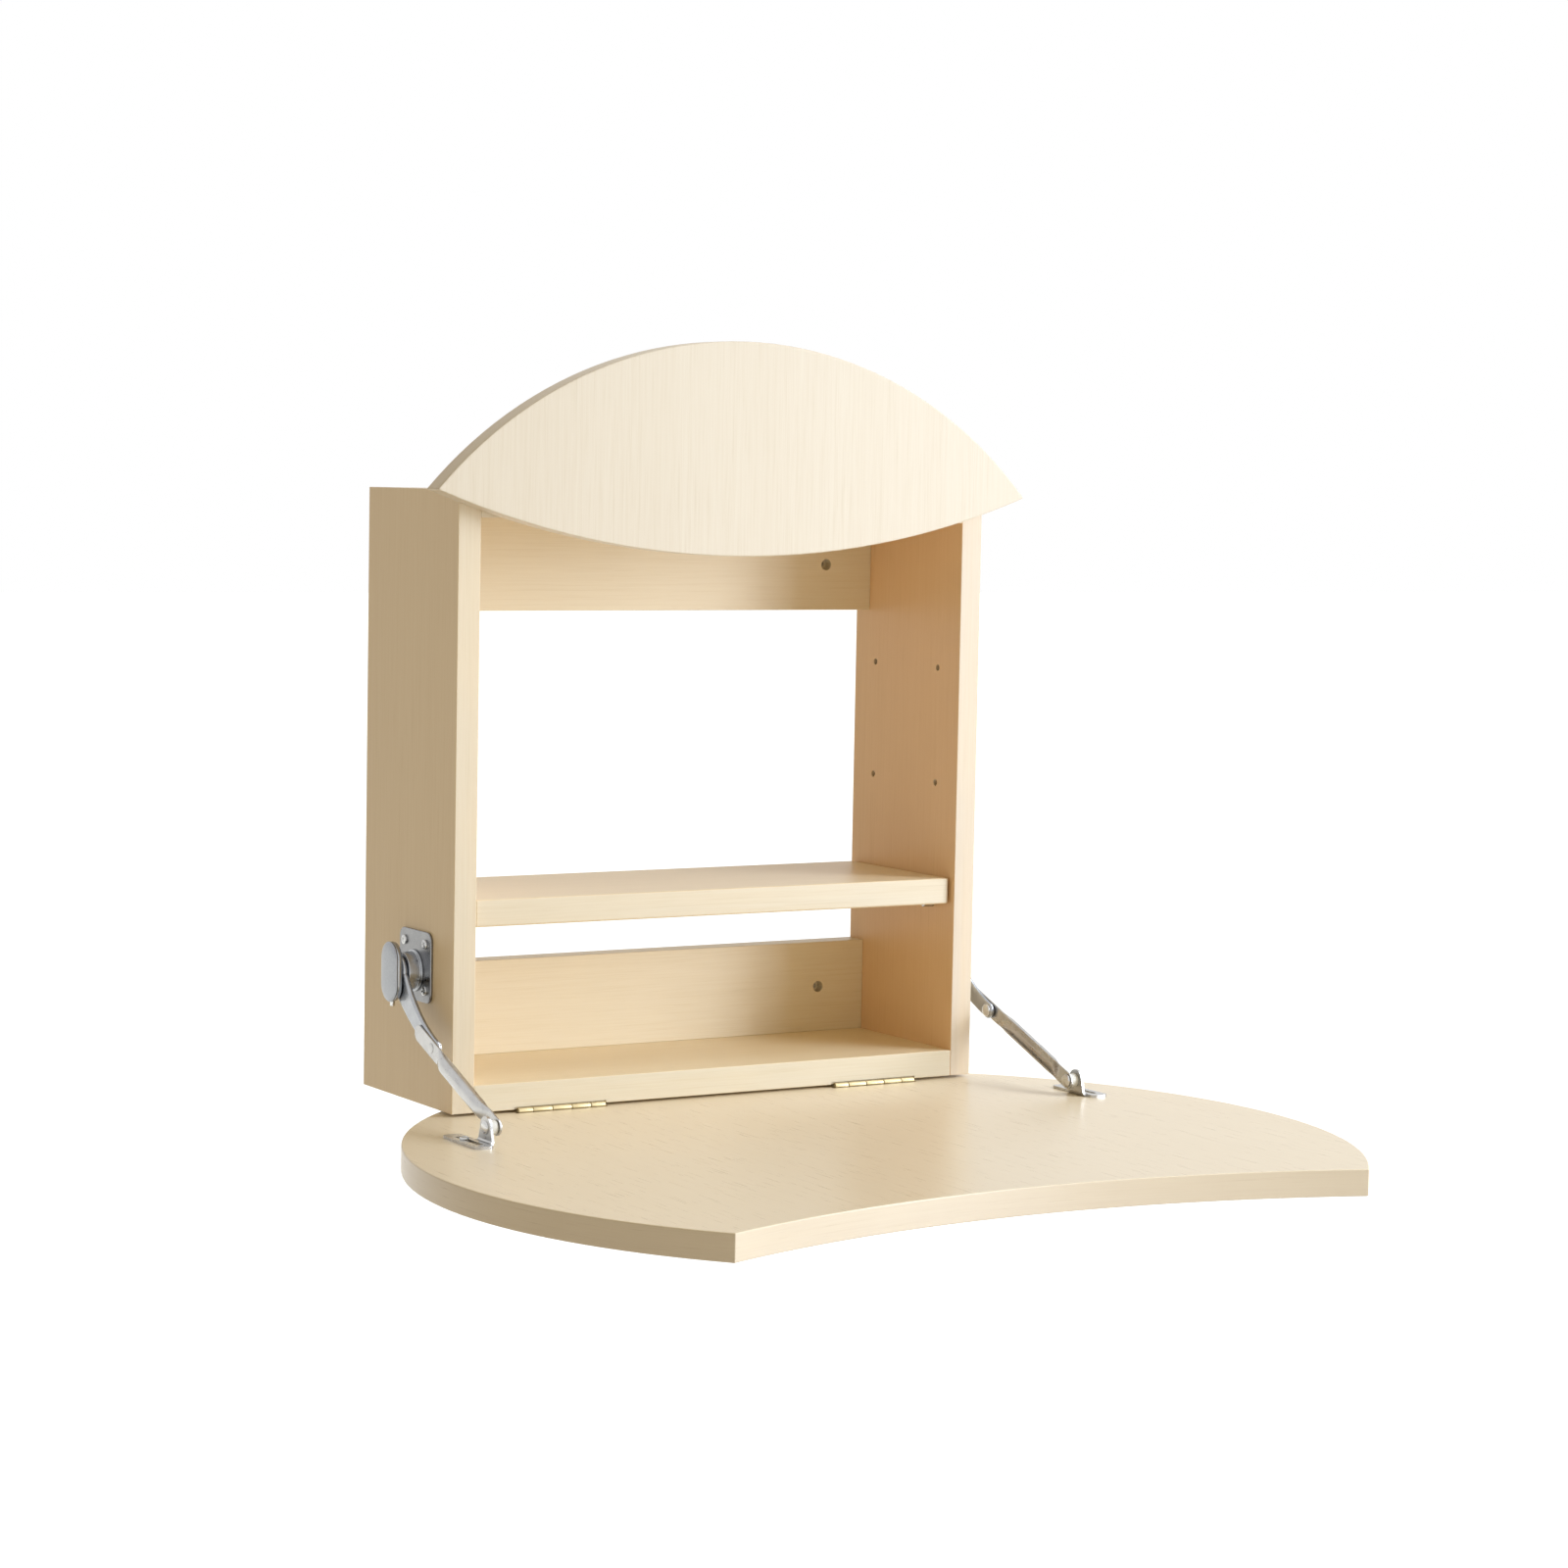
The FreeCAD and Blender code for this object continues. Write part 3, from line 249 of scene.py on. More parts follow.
def plate(
    outline: np.ndarray, low: float, high: float, edge: float, across: Axis = Axis.X, steps: int = 4,
) -> Patch:
    """Give a flat outline a thickness, with its edges rounded on both faces.

    Each row is the outline moved inwards by edge * (1 - sin a) at height edge * (1 - cos a) from
    the face, for a from nought to a quarter turn, with one more row on the face itself.

    Args:
        outline: Points in the plane of the two other axes, in their order.
        low: Height of the lower face along the axis across.
        high: Height of the upper face.
        edge: Radius of the rounded edges.
        across: Axis square to the plate.
        steps: Rows of each rounded edge.

    Returns:
        The closed plate.
    """
    face_row = 1.35 * edge
    shape = counterclockwise(outline)
    angle = np.linspace(0, math.pi / 2, steps)
    sunk = np.concatenate([[face_row], edge * (1 - np.sin(angle))])
    risen = np.concatenate([[0], edge * (1 - np.cos(angle))])
    depths = np.concatenate([sunk, sunk[::-1]])
    heights = np.concatenate([low + risen, high - risen[::-1]])
    rows = np.stack([inset(shape, depth) for depth in depths])
    points = np.insert(rows, across.value, np.broadcast_to(heights[:, None], rows.shape[:2]), axis=2)
    return Patch(points, caps=True)


@dataclass(frozen=True)
class Screw:
    """The form of a wood screw, in millimetres. A sunk head has a negative height.

    The width, depth and fade of the recess are in radii of the head, and the point starts at a share
    of the length.
    """

    length: float
    head_radius: float
    head_height: float
    shank: float
    dome: float
    recess: Recess
    recess_half: float = 0.17
    recess_depth: float = 0.3
    recess_fade: float = 0.35
    recess_turn: float = 22.0
    rim: float = 0.15
    point: float = 0.7
    head_rows: int = 26

    def profile(self) -> np.ndarray:
        """Draw half of the section, from the head's middle to the point.

        Returns:
            Pairs of distance out of the seat and radius, with the head's top in the first head_rows.
        """
        radius, shank, length = self.head_radius, self.shank, self.length
        share = np.linspace(0, 1, self.head_rows)
        top = max(self.head_height, 0.0)
        crown = np.stack([top - self.dome * share ** 2, share * (radius - self.rim)], axis=1)
        if self.head_height > 0:
            side_high, side_low = top - self.dome - 0.25, 0.2
            under = [(side_high, radius), (side_low, radius), (0, radius - self.rim), (0, shank)]
        else:
            side_high, side_low, taper = -0.12, -0.3, 0.05
            under = [(side_high, radius), (side_low, radius - taper), (self.head_height, shank)]
        tail = [(-length * self.point, shank), (-length * (self.point + 0.02), shank * 0.92), (-length, 0.0)]
        return np.concatenate([crown, under, tail])

    def bar(self, along: np.ndarray, over: np.ndarray) -> np.ndarray:
        """Mask one bar of the recess: one in its middle, falling to nought at its sides and ends.

        Args:
            along: Distances from the head's middle along the bar.
            over: Distances across it.

        Returns:
            The mask.
        """
        half, reach = self.recess_half * self.head_radius, self.recess.value * self.head_radius
        ends = np.clip((reach - np.abs(along)) / (self.recess_fade * self.head_radius), 0, 1)
        return ends * np.clip((half * 1.35 - np.abs(over)) / (half * 0.6), 0, 1)

    def turned(self, place: Triple, axis: Triple) -> Patch:
        """Turn the screw round its axis and press the recess into its head.

        Every point of the head's top is pushed down by the recess's depth times a smooth mask: one
        bar for a slot, and the larger of two crossed bars for a cross.

        Args:
            place: Middle of the seat.
            axis: Direction from the seat out of the head.

        Returns:
            The closed screw.
        """
        made = revolve(self.profile(), place, axis)
        out, side, over = axes_about(axis)
        radial = made.points[:self.head_rows] - np.asarray(place, float)
        flat = radial - (radial @ out)[..., None] * out
        u, v = flat @ side, flat @ over
        turn = math.radians(self.recess_turn)
        u, v = u * math.cos(turn) - v * math.sin(turn), u * math.sin(turn) + v * math.cos(turn)
        mask = self.bar(u, v)
        if self.recess is Recess.CROSS:
            mask = np.maximum(mask, self.bar(v, u))
        made.points[:self.head_rows] -= (self.recess_depth * self.head_radius * mask)[..., None] * out
        return made


FLAT_SCREW = Screw(13, 2.8, -1.5, 1.4, 0.0, Recess.CROSS)
PAN_SCREW = Screw(13, 3.6, 2.2, 1.4, 0.7, Recess.CROSS)
ADJUSTING_SCREW = Screw(6.0, 1.8, 3.5, 1.7, 0.3, Recess.SLOT)


def mirrored(patches: Sequence[Patch], side: Side) -> list[Patch]:
    """Put patches that hold distances from the middle plane on their own side."""
    sign = np.array([side.value, 1.0, 1.0])
    return [replace(patch, points=patch.points * sign) for patch in patches]


# ---------------------------------------------------------------- finishes

def linear(colour: Colour) -> tuple[float, float, float, float]:
    """Turn a display colour into the scene's linear colour.

    Args:
        colour: Red, green and blue from 0 to 255.

    Returns:
        Red, green and blue from nought to one, with full alpha.
    """
    share = np.asarray(colour, float) / 255
    light = np.where(share <= 0.04045, share / 12.92, ((share + 0.055) / 1.055) ** 2.4)
    return (float(light[0]), float(light[1]), float(light[2]), 1.0)


class Nodes:
    """A node tree while it is laid out."""

    def __init__(self, tree: bpy.types.NodeTree) -> None:
        """Take up a tree."""
        self.tree = tree

    def node(self, kind: str, inputs: dict[str | int, object], **settings: object) -> bpy.types.Node:
        """Add a node.

        Args:
            kind: Blender's name of the node type.
            inputs: Values or sockets for its inputs, by name or number.
            **settings: Properties of the node itself.

        Returns:
            The new node.
        """
        made = self.tree.nodes.new(kind)
        for name, value in settings.items():
            setattr(made, name, value)
        for name, value in inputs.items():
            self.feed(made.inputs[name], value)
        return made

    def feed(self, socket: Socket, value: object) -> None:
        """Link a socket to another one, or set its value.

        Args:
            socket: The input.
            value: A socket or a plain value.
        """
        if isinstance(value, Socket):
            self.tree.links.new(value, socket)
        else:
            socket.default_value = value

    def math(self, operation: str, a: object, b: object = 0.0) -> Socket:
        """One sum of two numbers or sockets."""
        return self.node("ShaderNodeMath", {0: a, 1: b}, operation=operation).outputs[0]

    def seen(self) -> Socket:
        """Tell rays of the eye, of gloss and of glass from the rest.

        Returns:
            A socket that holds one on those rays and nought on others.
        """
        path = self.node("ShaderNodeLightPath", {}).outputs
        eye_or_gloss = self.math("MAXIMUM", path["Is Camera Ray"], path["Is Glossy Ray"])
        return self.math("MAXIMUM", eye_or_gloss, path["Is Transmission Ray"])


class Sheet(Nodes):
    """A material while its nodes are laid out."""

    def __init__(self, name: str) -> None:
        """Start a material with a main shader and its coordinates.

        Args:
            name: Name of the material.
        """
        self.material = bpy.data.materials.new(name)
        self.material.use_nodes = True
        super().__init__(self.material.node_tree)
        self.shader = next(node for node in self.tree.nodes if node.type == "BSDF_PRINCIPLED")
        self.coordinates = self.tree.nodes.new("ShaderNodeTexCoord")

    def stretched(self, scale: Triple = (1, 1, 1)) -> Socket:
        """Object coordinates times a scale for each axis, in repeats per metre."""
        place = self.coordinates.outputs["Object"]
        return self.node("ShaderNodeMapping", {"Vector": place, "Scale": scale}).outputs["Vector"]

    def noise(self, vector: Socket, scale: float, detail: float) -> Socket:
        """Fractal noise of a vector, from nought to one."""
        inputs = {"Vector": vector, "Scale": scale, "Detail": detail, "Roughness": 0.55}
        return self.node("ShaderNodeTexNoise", inputs, noise_dimensions="3D").outputs["Fac"]

    def spread(self, source: Socket, low: float, high: float) -> Socket:
        """Stretch a noise's middle range to low and high."""
        inputs = {"Value": source, "From Min": 0.3, "From Max": 0.7, "To Min": low, "To Max": high}
        return self.node("ShaderNodeMapRange", inputs, clamp=True).outputs["Result"]

    def blended(self, a: object, b: object, share: float) -> Socket:
        """Mean of two numbers, with a share of the first."""
        return self.math("ADD", self.math("MULTIPLY", a, share), self.math("MULTIPLY", b, 1 - share))

    def ramp(self, factor: Socket, stops: Sequence[tuple[float, Colour]]) -> Socket:
        """Colour by a factor.

        Args:
            factor: The number that picks the colour.
            stops: Places from nought to one and their colours.

        Returns:
            The colour.
        """
        made = self.node("ShaderNodeValToRGB", {"Fac": factor})
        points = made.color_ramp.elements
        while len(points) < len(stops):
            points.new(0.5)
        for point, (place, colour) in zip(points, stops):
            point.position = place
            point.color = linear(colour)
        return made.outputs["Color"]

    def mix(self, factor: object, a: object, b: object) -> Socket:
        """Mix two colours."""
        return self.node("ShaderNodeMix", {0: factor, 6: a, 7: b}, data_type="RGBA").outputs[2]

    def bump(self, height: Socket, strength: float, distance: float) -> None:
        """Give the shader a relief of a height in millimetres times distance."""
        inputs = {"Height": height, "Strength": strength, "Distance": distance * MM}
        self.feed(self.shader.inputs["Normal"], self.node("ShaderNodeBump", inputs).outputs["Normal"])

    def shade(self, **inputs: object) -> bpy.types.Material:
        """Set or link the shader's inputs, with underscores for blanks in their names.

        Args:
            **inputs: Values or sockets.

        Returns:
            The material.
        """
        for name, value in inputs.items():
            self.feed(self.shader.inputs[name.replace("_", " ")], value)
        return self.material


@dataclass(frozen=True)
class Wood:
    """Pale straight-grained laminate under matt lacquer, with a banded edge.

    On the faces the grain runs along one axis. On the edges it runs round the board, as edge
    banding does, whichever way an edge faces. The face on the minus side can have its own tone,
    which some boards use for painted shade or painted light on one face.
    pores, lines and bands hold the length and the width of their streaks, in millimetres.
    """

    name: str
    tone: Colour
    band: Colour
    grain: Axis
    through: Axis
    contrast: float = 0.8
    minus: Colour | None = None
    roughness: float = 0.385
    roughness_spread: float = 0.02
    pores: Pair = (40, 0.9)
    lines: Pair = (140, 2.2)
    bands: Pair = (700, 22)
    clouds_per_metre: float = 7.0

    def stretched(self, sheet: Sheet, along: Sequence[Axis], size: Pair) -> Socket:
        """Stretch the coordinates, with few repeats along some axes and many along the others.

        Args:
            sheet: The material.
            along: Axes along which a streak has its length.
            size: Length and width of a streak, in millimetres.

        Returns:
            The stretched coordinates.
        """
        length, width = size
        repeats = [1 / ((length if axis in along else width) * MM) for axis in Axis]
        return sheet.stretched((repeats[0], repeats[1], repeats[2]))

    def streaks(self, sheet: Sheet, is_face: object, size: Pair, detail: float) -> Socket:
        """Noise drawn out along the grain on the faces and round the board on its edges.

        Args:
            sheet: The material.
            is_face: A socket that holds one on the faces and nought on the edges.
            size: Length and width of a streak, in millimetres.
            detail: Detail of the noise.

        Returns:
            The noise.
        """
        on_face = self.stretched(sheet, [self.grain], size)
        on_edge = self.stretched(sheet, [axis for axis in Axis if axis is not self.through], size)
        place = sheet.node("ShaderNodeMix", {0: is_face, 4: on_edge, 5: on_face}, data_type="VECTOR")
        return sheet.noise(place.outputs[1], 1.0, detail)

    def tinted(self, tone: Colour, change: Triple) -> Colour:
        """A tone with something added to each channel."""
        shifted = np.clip(np.asarray(tone) + np.asarray(change) * self.contrast, 0, 255)
        return (int(shifted[0]), int(shifted[1]), int(shifted[2]))

    def fibred(self, sheet: Sheet, fibre: Socket, tone: Colour) -> Socket:
        """One tone, darker along its fibres."""
        changes = ((0.30, (-12, -15, -20)), (0.44, (-2, -3, -4)), (0.56, (2, 2, 3)), (0.70, (4, 5, 6)))
        return sheet.ramp(fibre, [(place, self.tinted(tone, change)) for place, change in changes])

    def material(self) -> bpy.types.Material:
        """Lay out fine pores, wider growth bands and slow clouds of tone.

        Returns:
            The material.
        """
        sheet = Sheet(self.name)
        normal = sheet.node("ShaderNodeSeparateXYZ", {0: sheet.coordinates.outputs["Normal"]})
        across = normal.outputs[self.through.value]
        is_face = sheet.math("GREATER_THAN", sheet.math("ABSOLUTE", across), 0.5)
        pores = self.streaks(sheet, is_face, self.pores, 4.0)
        lines = self.streaks(sheet, is_face, self.lines, 2.0)
        bands = self.streaks(sheet, is_face, self.bands, 2.0)
        clouds = sheet.noise(sheet.stretched(), self.clouds_per_metre, 2.0)
        fibre = sheet.blended(pores, lines, 0.6)
        edge = self.fibred(sheet, fibre, self.band)
        faces = []
        # faces[1] is the minus face; where a board gives it its own tone, that tone holds painted shade or
        # painted light
        for tone in (self.tone, self.minus or self.tone):
            colour = sheet.mix(is_face, edge, self.fibred(sheet, fibre, tone))
            for noise, most, change in ((bands, 0.35, (-5, -7, -10)), (clouds, 0.3, (3, 3, 2))):
                colour = sheet.mix(sheet.spread(noise, 0.0, most), colour, linear(self.tinted(tone, change)))
            faces.append(colour)
        sheet.bump(fibre, 0.01, 0.25)
        low, high = self.roughness - self.roughness_spread, self.roughness + self.roughness_spread
        return sheet.shade(
            Base_Color=sheet.mix(sheet.math("LESS_THAN", across, -0.5), faces[0], faces[1]),
            Roughness=sheet.spread(pores, low, high), Specular_IOR_Level=0.5,
        )


@dataclass(frozen=True)
class Metal:
    """A plated or plain metal with fine brushing, smudges and a trace of wear."""

    name: str
    tone: Colour
    roughness: float
    brushing: Triple = (900, 120, 120)
    smudges_per_metre: float = 90.0
    relief: float = 0.05

    def material(self) -> bpy.types.Material:
        """Lay out the metal: brushing moves the tone and the gloss a little, smudges the gloss more.

        Returns:
            The material.
        """
        sheet = Sheet(self.name)
        brushed = sheet.noise(sheet.stretched(self.brushing), 1.0, 3.0)
        smudges = sheet.noise(sheet.stretched(), self.smudges_per_metre, 3.0)
        dark = (self.tone[0] - 16, self.tone[1] - 16, self.tone[2] - 15)
        colour = sheet.ramp(sheet.blended(brushed, smudges, 0.6), [(0.32, dark), (0.60, self.tone)])
        sheet.bump(brushed, self.relief, 0.05)
        smudged = sheet.spread(smudges, self.roughness - 0.05, self.roughness + 0.06)
        gloss = sheet.math("ADD", smudged, sheet.math("MULTIPLY", brushed, 0.05))
        return sheet.shade(Base_Color=colour, Metallic=1.0, Roughness=gloss)


@dataclass(frozen=True)
class Nylon:
    """White moulded plastic with a faint satin grain."""

    name: str
    tone: Colour
    grains_per_metre: float = 1500.0

    def material(self) -> bpy.types.Material:
        """Lay out the plastic.

        Returns:
            The material.
        """
        sheet = Sheet(self.name)
        grain = sheet.noise(sheet.stretched(), self.grains_per_metre, 2.0)
        dull = (self.tone[0] - 8, self.tone[1] - 8, self.tone[2] - 10)
        sheet.bump(grain, 0.1, 0.05)
        return sheet.shade(
            Base_Color=sheet.ramp(grain, [(0.3, dull), (0.7, self.tone)]),
            Roughness=sheet.spread(grain, 0.38, 0.5), Specular_IOR_Level=0.45,
        )


class Finishes:
    """Every finish of the desk, made once."""

    def __init__(self) -> None:
        """Make the materials."""
        side, front, band = (246, 224, 190), (227, 216, 197), (228, 218, 197)
        woods = {
            "left_side_panel": Wood("left_side_wood", side, band, Axis.Z, Axis.X),
            # Painted shade: the inner face (the minus side) gets a darker, more orange tone that stands in
            # for shadow and light bounced off the wood inside the cabinet
            "right_side_panel": Wood(
                "right_side_wood_painted_shade", side, (217, 205, 189), Axis.Z, Axis.X, minus=(240, 203, 160),
            ),
            "top_panel": Wood("top_wood", (240, 216, 179), band, Axis.X, Axis.Z),
            "bottom_panel": Wood("bottom_wood", (246, 229, 194), (231, 224, 206), Axis.X, Axis.Z),
            "top_rail": Wood("top_rail_wood", (238, 224, 194), band, Axis.X, Axis.Y),
            "bottom_rail": Wood("bottom_rail_wood", (248, 236, 210), band, Axis.X, Axis.Y),
            "shelf": Wood("shelf_wood", (239, 221, 188), band, Axis.X, Axis.Z),
            "crest_panel": Wood("crest_wood", front, (226, 211, 186), Axis.Z, Axis.Y),
            # Painted light: the leaf's top gets a paler tone than its underside, which keeps the crest's
            # tone, to make up for less light falling on the top
            "leaf_panel": Wood(
                "leaf_wood_painted_light", (244, 230, 203), (222, 206, 183), Axis.Y, Axis.Z, 0.5, front, 0.29,
            ),
            "carcass_dowels": Wood("dowel_wood", (214, 184, 140), (205, 172, 126), Axis.X, Axis.Y, 1.6),
        }
        self.boards = {node: wood.material() for node, wood in woods.items()}
        self.boards["crest_dowels"] = self.boards["carcass_dowels"]
        self.nickel = Metal("satin_nickel", (196, 195, 193), 0.26).material()
        self.bright = Metal("bright_nickel", (214, 213, 210), 0.16).material()
        self.cast = Metal("cast_nickel", (176, 178, 181), 0.20).material()
        self.plate = Metal("plate_nickel", (146, 146, 147), 0.24).material()
        self.cap = Metal("cap_nickel", (163, 165, 168), 0.30, (60, 700, 700)).material()
        self.zinc = Metal("zinc_screw", (206, 206, 204), 0.22).material()
        self.brass = Metal("polished_brass", (198, 182, 142), 0.40, (120, 900, 900)).material()
        self.nylon = Nylon("white_nylon", (240, 240, 236)).material()


# ---------------------------------------------------------------- pieces

def linked(name: str, data: bpy.types.ID) -> bpy.types.Object:
    """Make an object of some data and put it in the scene.

    Args:
        name: Name of the object.
        data: Its mesh, light or camera.

    Returns:
        The object.
    """
    made = bpy.data.objects.new(name, data)
    bpy.context.scene.collection.objects.link(made)
    return made


def finish_node(name: str, material: bpy.types.Material) -> None:
    """Give a node of the frame a finish and leave its shape as it is.

    Args:
        name: Name of the node.
        material: The finish.
    """
    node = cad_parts[name]
    node.data.materials.clear()
    node.data.materials.append(material)
    LOG.info("%s: %s", name, material.name)


def closed_mesh(name: str, patches: Sequence[Patch]) -> bpy.types.Mesh:
    """Make one mesh of patches, close it and face it outwards.

    Args:
        name: Name of the mesh.
        patches: Its surfaces, in millimetres.

    Returns:
        The mesh, in metres, with edges past the crease angle drawn sharp.
    """
    weld, smallest, crease = 2e-6, 1e-6, 32
    counts = [patch.points.shape[0] * patch.points.shape[1] for patch in patches]
    starts = np.concatenate([[0], np.cumsum(counts)[:-1]]).astype(int)
    points = np.concatenate([patch.points.reshape(-1, 3) for patch in patches]) * MM
    faces = [face for patch, first in zip(patches, starts) for face in patch.faces(int(first))]
    mesh = bpy.data.meshes.new(name)
    mesh.from_pydata(points.tolist(), [], faces)
    shaped = bmesh.new()
    shaped.from_mesh(mesh)
    bmesh.ops.remove_doubles(shaped, verts=shaped.verts, dist=weld)
    bmesh.ops.dissolve_degenerate(shaped, edges=shaped.edges, dist=smallest)
    bmesh.ops.recalc_face_normals(shaped, faces=shaped.faces)
    open_edges = sum(1 for line in shaped.edges if not line.is_manifold)
    shaped.to_mesh(mesh)
    shaped.free()
    mesh.polygons.foreach_set("use_smooth", np.ones(len(mesh.polygons), bool))
    mesh.set_sharp_from_angle(angle=math.radians(crease))
    LOG.info("%s: %d faces, %d open edges", name, len(mesh.polygons), open_edges)
    return mesh


def add_piece(
    node: str, patches: Sequence[Patch], material: bpy.types.Material, body: str,
    edge: float = 0.0,
) -> None:
    """Make the dressed piece that stands for a node of the frame, and put it on its body.

    Args:
        node: Name of the frame's node.
        patches: The piece's surfaces, in millimetres.
        material: Its finish.
        body: The body that it rides on.
        edge: Width of a bevel on its sharp edges, in millimetres, or nought.
    """
    name = f"dressed_{node}"
    mesh = closed_mesh(name, patches)
    mesh.materials.append(material)
    piece = linked(name, mesh)
    if edge:
        bevel = piece.modifiers.new("edges", "BEVEL")
        bevel.width = edge * MM
        bevel.segments = 2
        bevel.limit_method = "ANGLE"
        bevel.angle_limit = math.radians(40)
        bevel.harden_normals = True
    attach(piece, body)
    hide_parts(node)
    LOG.info("%s: on %s", name, body)


@dataclass
class Boards:
    """The cabinet's boards, the crest, the leaf and the dowels, which stay as the frame gives them."""

    finishes: Finishes

    def dress(self) -> None:
        """Give each board the wood of its own board."""
        for name, material in self.finishes.boards.items():
            finish_node(name, material)


@dataclass
class ShelfPins:
    """The four pins that the shelf lies on."""

    finishes: Finishes
    radius: float = 2.5
    inner: float = 198.0
    outer: float = 216.0
    rounding: float = 0.6
    rows: Pair = (-120.0, -30.0)
    height: float = -93.0

    def pin(self, side: Side, row: float) -> Patch:
        """Turn one pin with rounded ends.

        Args:
            side: The side panel that it is in.
            row: Its place along Y.

        Returns:
            The pin.
        """
        profile = open_fillet([
            (self.inner, 0), (self.inner, self.radius), (self.outer, self.radius), (self.outer, 0),
        ], self.rounding)
        return mirrored([revolve(profile, (0, row, self.height), steps=32)], side)[0]

    def dress(self) -> None:
        """Make all four as one piece."""
        pins = [self.pin(side, row) for side in Side for row in self.rows]
        add_piece("shelf_pins", pins, self.finishes.nickel, "cabinet")


@dataclass
class SidedPart:
    """A part that the desk has once on each side."""

    side: Side
    finishes: Finishes

    def add(
        self, name: str, patches: Sequence[Patch], material: bpy.types.Material, body: str,
        slot: str = "stays", edge: float = 0.0,
    ) -> None:
        """Make a piece of this side from surfaces that hold distances from the middle plane.

        Args:
            name: Name of its node without the side.
            patches: Its surfaces.
            material: Its finish.
            body: The body that it rides on.
            slot: Not used.
            edge: Width of a bevel on its sharp edges, in millimetres, or nought.
        """
        add_piece(f"{self.side.tag}_{name}", mirrored(patches, self.side), material, body, edge)


@dataclass
class Hinge(SidedPart):
    """A butt hinge of two thin plates, five barrels and a pin, screwed from between its plates.

    Barrels are numbered from the middle plane outwards.
    """

    start: float = 100.0
    length: float = 72.0
    axis_y: float = -151.0
    axis_z: float = -226.0
    half_seam: float = 1.0
    barrel: float = 2.5
    barrel_radii: tuple[float, float, float, float] = (0.1, 0.45, 0.45, 0.1)
    pin: float = 1.2
    pin_play: float = 0.01
    end_barrel: float = 12.0
    gap: float = RUNNING_GAP
    fixed_barrels: tuple[int, ...] = (0, 2, 4)
    moving_barrels: tuple[int, ...] = (1, 3)
    plate_back: float = -127.0
    plate_thickness: float = 0.8
    plate_edge: float = 0.06
    plate_corner: float = 1.2
    tongue_corner: float = 0.05
    root_gap: float = 0.6
    screw_y: float = -137.0
    screw_pitch: float = 24.0

    def span(self, number: int, trim: float) -> Pair:
        """Find where a barrel starts and ends.

        Args:
            number: Number of the barrel.
            trim: Room between two neighbours, half of it taken from each end that has a neighbour.

        Returns:
            Its two distances from the middle plane.
        """
        inner = (self.length - 2 * self.end_barrel) / 3
        ends = self.start + np.cumsum([0, self.end_barrel, inner, inner, inner, self.end_barrel])
        has_outer = number + 2 < len(ends)
        low = ends[number] + (trim / 2 if number else 0)
        high = ends[number + 1] - (trim / 2 if has_outer else 0)
        return float(low), float(high)

    def barrels(self, wanted: Sequence[int]) -> list[Patch]:
        """Turn some of the barrels, with rounded rims and a pin hole.

        Args:
            wanted: Numbers of the barrels.

        Returns:
            The barrels.
        """
        found = []
        for number in wanted:
            low, high = self.span(number, self.gap)
            corners = [(low, self.pin), (low, self.barrel), (high, self.barrel), (high, self.pin)]
            loop = fillet(corners, self.barrel_radii, 5)
            found.append(revolve(loop, (0, self.axis_y, self.axis_z), steps=48, loop=True))
        return found

    def flap(self, low: float, wanted: Sequence[int]) -> Patch:
        """Make a hinge plate behind the pin, with a tongue to each of its barrels.

        Args:
            low: Height of its lower face.
            wanted: Numbers of the barrels that it carries.

        Returns:
            The plate.
        """
        corners = [(self.start, self.plate_back)]
        for number in sorted(self.fixed_barrels + self.moving_barrels):
            is_tongue = number in wanted
            front = self.axis_y + (0 if is_tongue else self.barrel + self.root_gap)
            corners += [(x, front) for x in self.span(number, self.gap if is_tongue else -self.gap)]
        corners.append((self.start + self.length, self.plate_back))
        radii = [self.plate_corner, *[self.tongue_corner] * (len(corners) - 2), self.plate_corner]
        high = low + self.plate_thickness
        return plate(fillet(corners, radii, 4), low, high, self.plate_edge, Axis.Z, 2)

    def screws(self, face: float, up: int) -> list[Patch]:
        """Sink three countersunk screws into a plate.

        Args:
            face: Height of the plate's face.
            up: 1 if the heads face up, -1 if they face down.

        Returns:
            The screws.
        """
        places = self.start + self.length / 2 + self.screw_pitch * np.array([-1, 0, 1])
        return [FLAT_SCREW.turned((float(x), self.screw_y, face), (0, 0, up)) for x in places]

    def dress(self) -> None:
        """Make the plates, the pin and the screws."""
        thick, end, radius = self.plate_thickness, self.start + self.length, self.pin - self.pin_play
        seat, lift = self.axis_z + self.half_seam, self.axis_z - self.half_seam
        shaft = open_fillet([(self.start, 0), (self.start, radius), (end, radius), (end, 0)], 0.5)
        pin = revolve(shaft, (0, self.axis_y, self.axis_z), steps=32)
        fixed = [*self.barrels(self.fixed_barrels), self.flap(seat - thick, self.fixed_barrels)]
        moving = [*self.barrels(self.moving_barrels), self.flap(lift, self.moving_barrels)]
        for name, patches, body in (
            ("fixed_plate", fixed, "cabinet"),
            ("moving_plate", moving, "leaf"),
            ("pin", [pin], "cabinet"),
            ("fixed_screws", self.screws(seat - thick, -1), "cabinet"),
            ("moving_screws", self.screws(lift + thick, 1), "leaf"),
        ):
            self.add(f"hinge_{name}", patches, self.finishes.brass, body, "hinges")


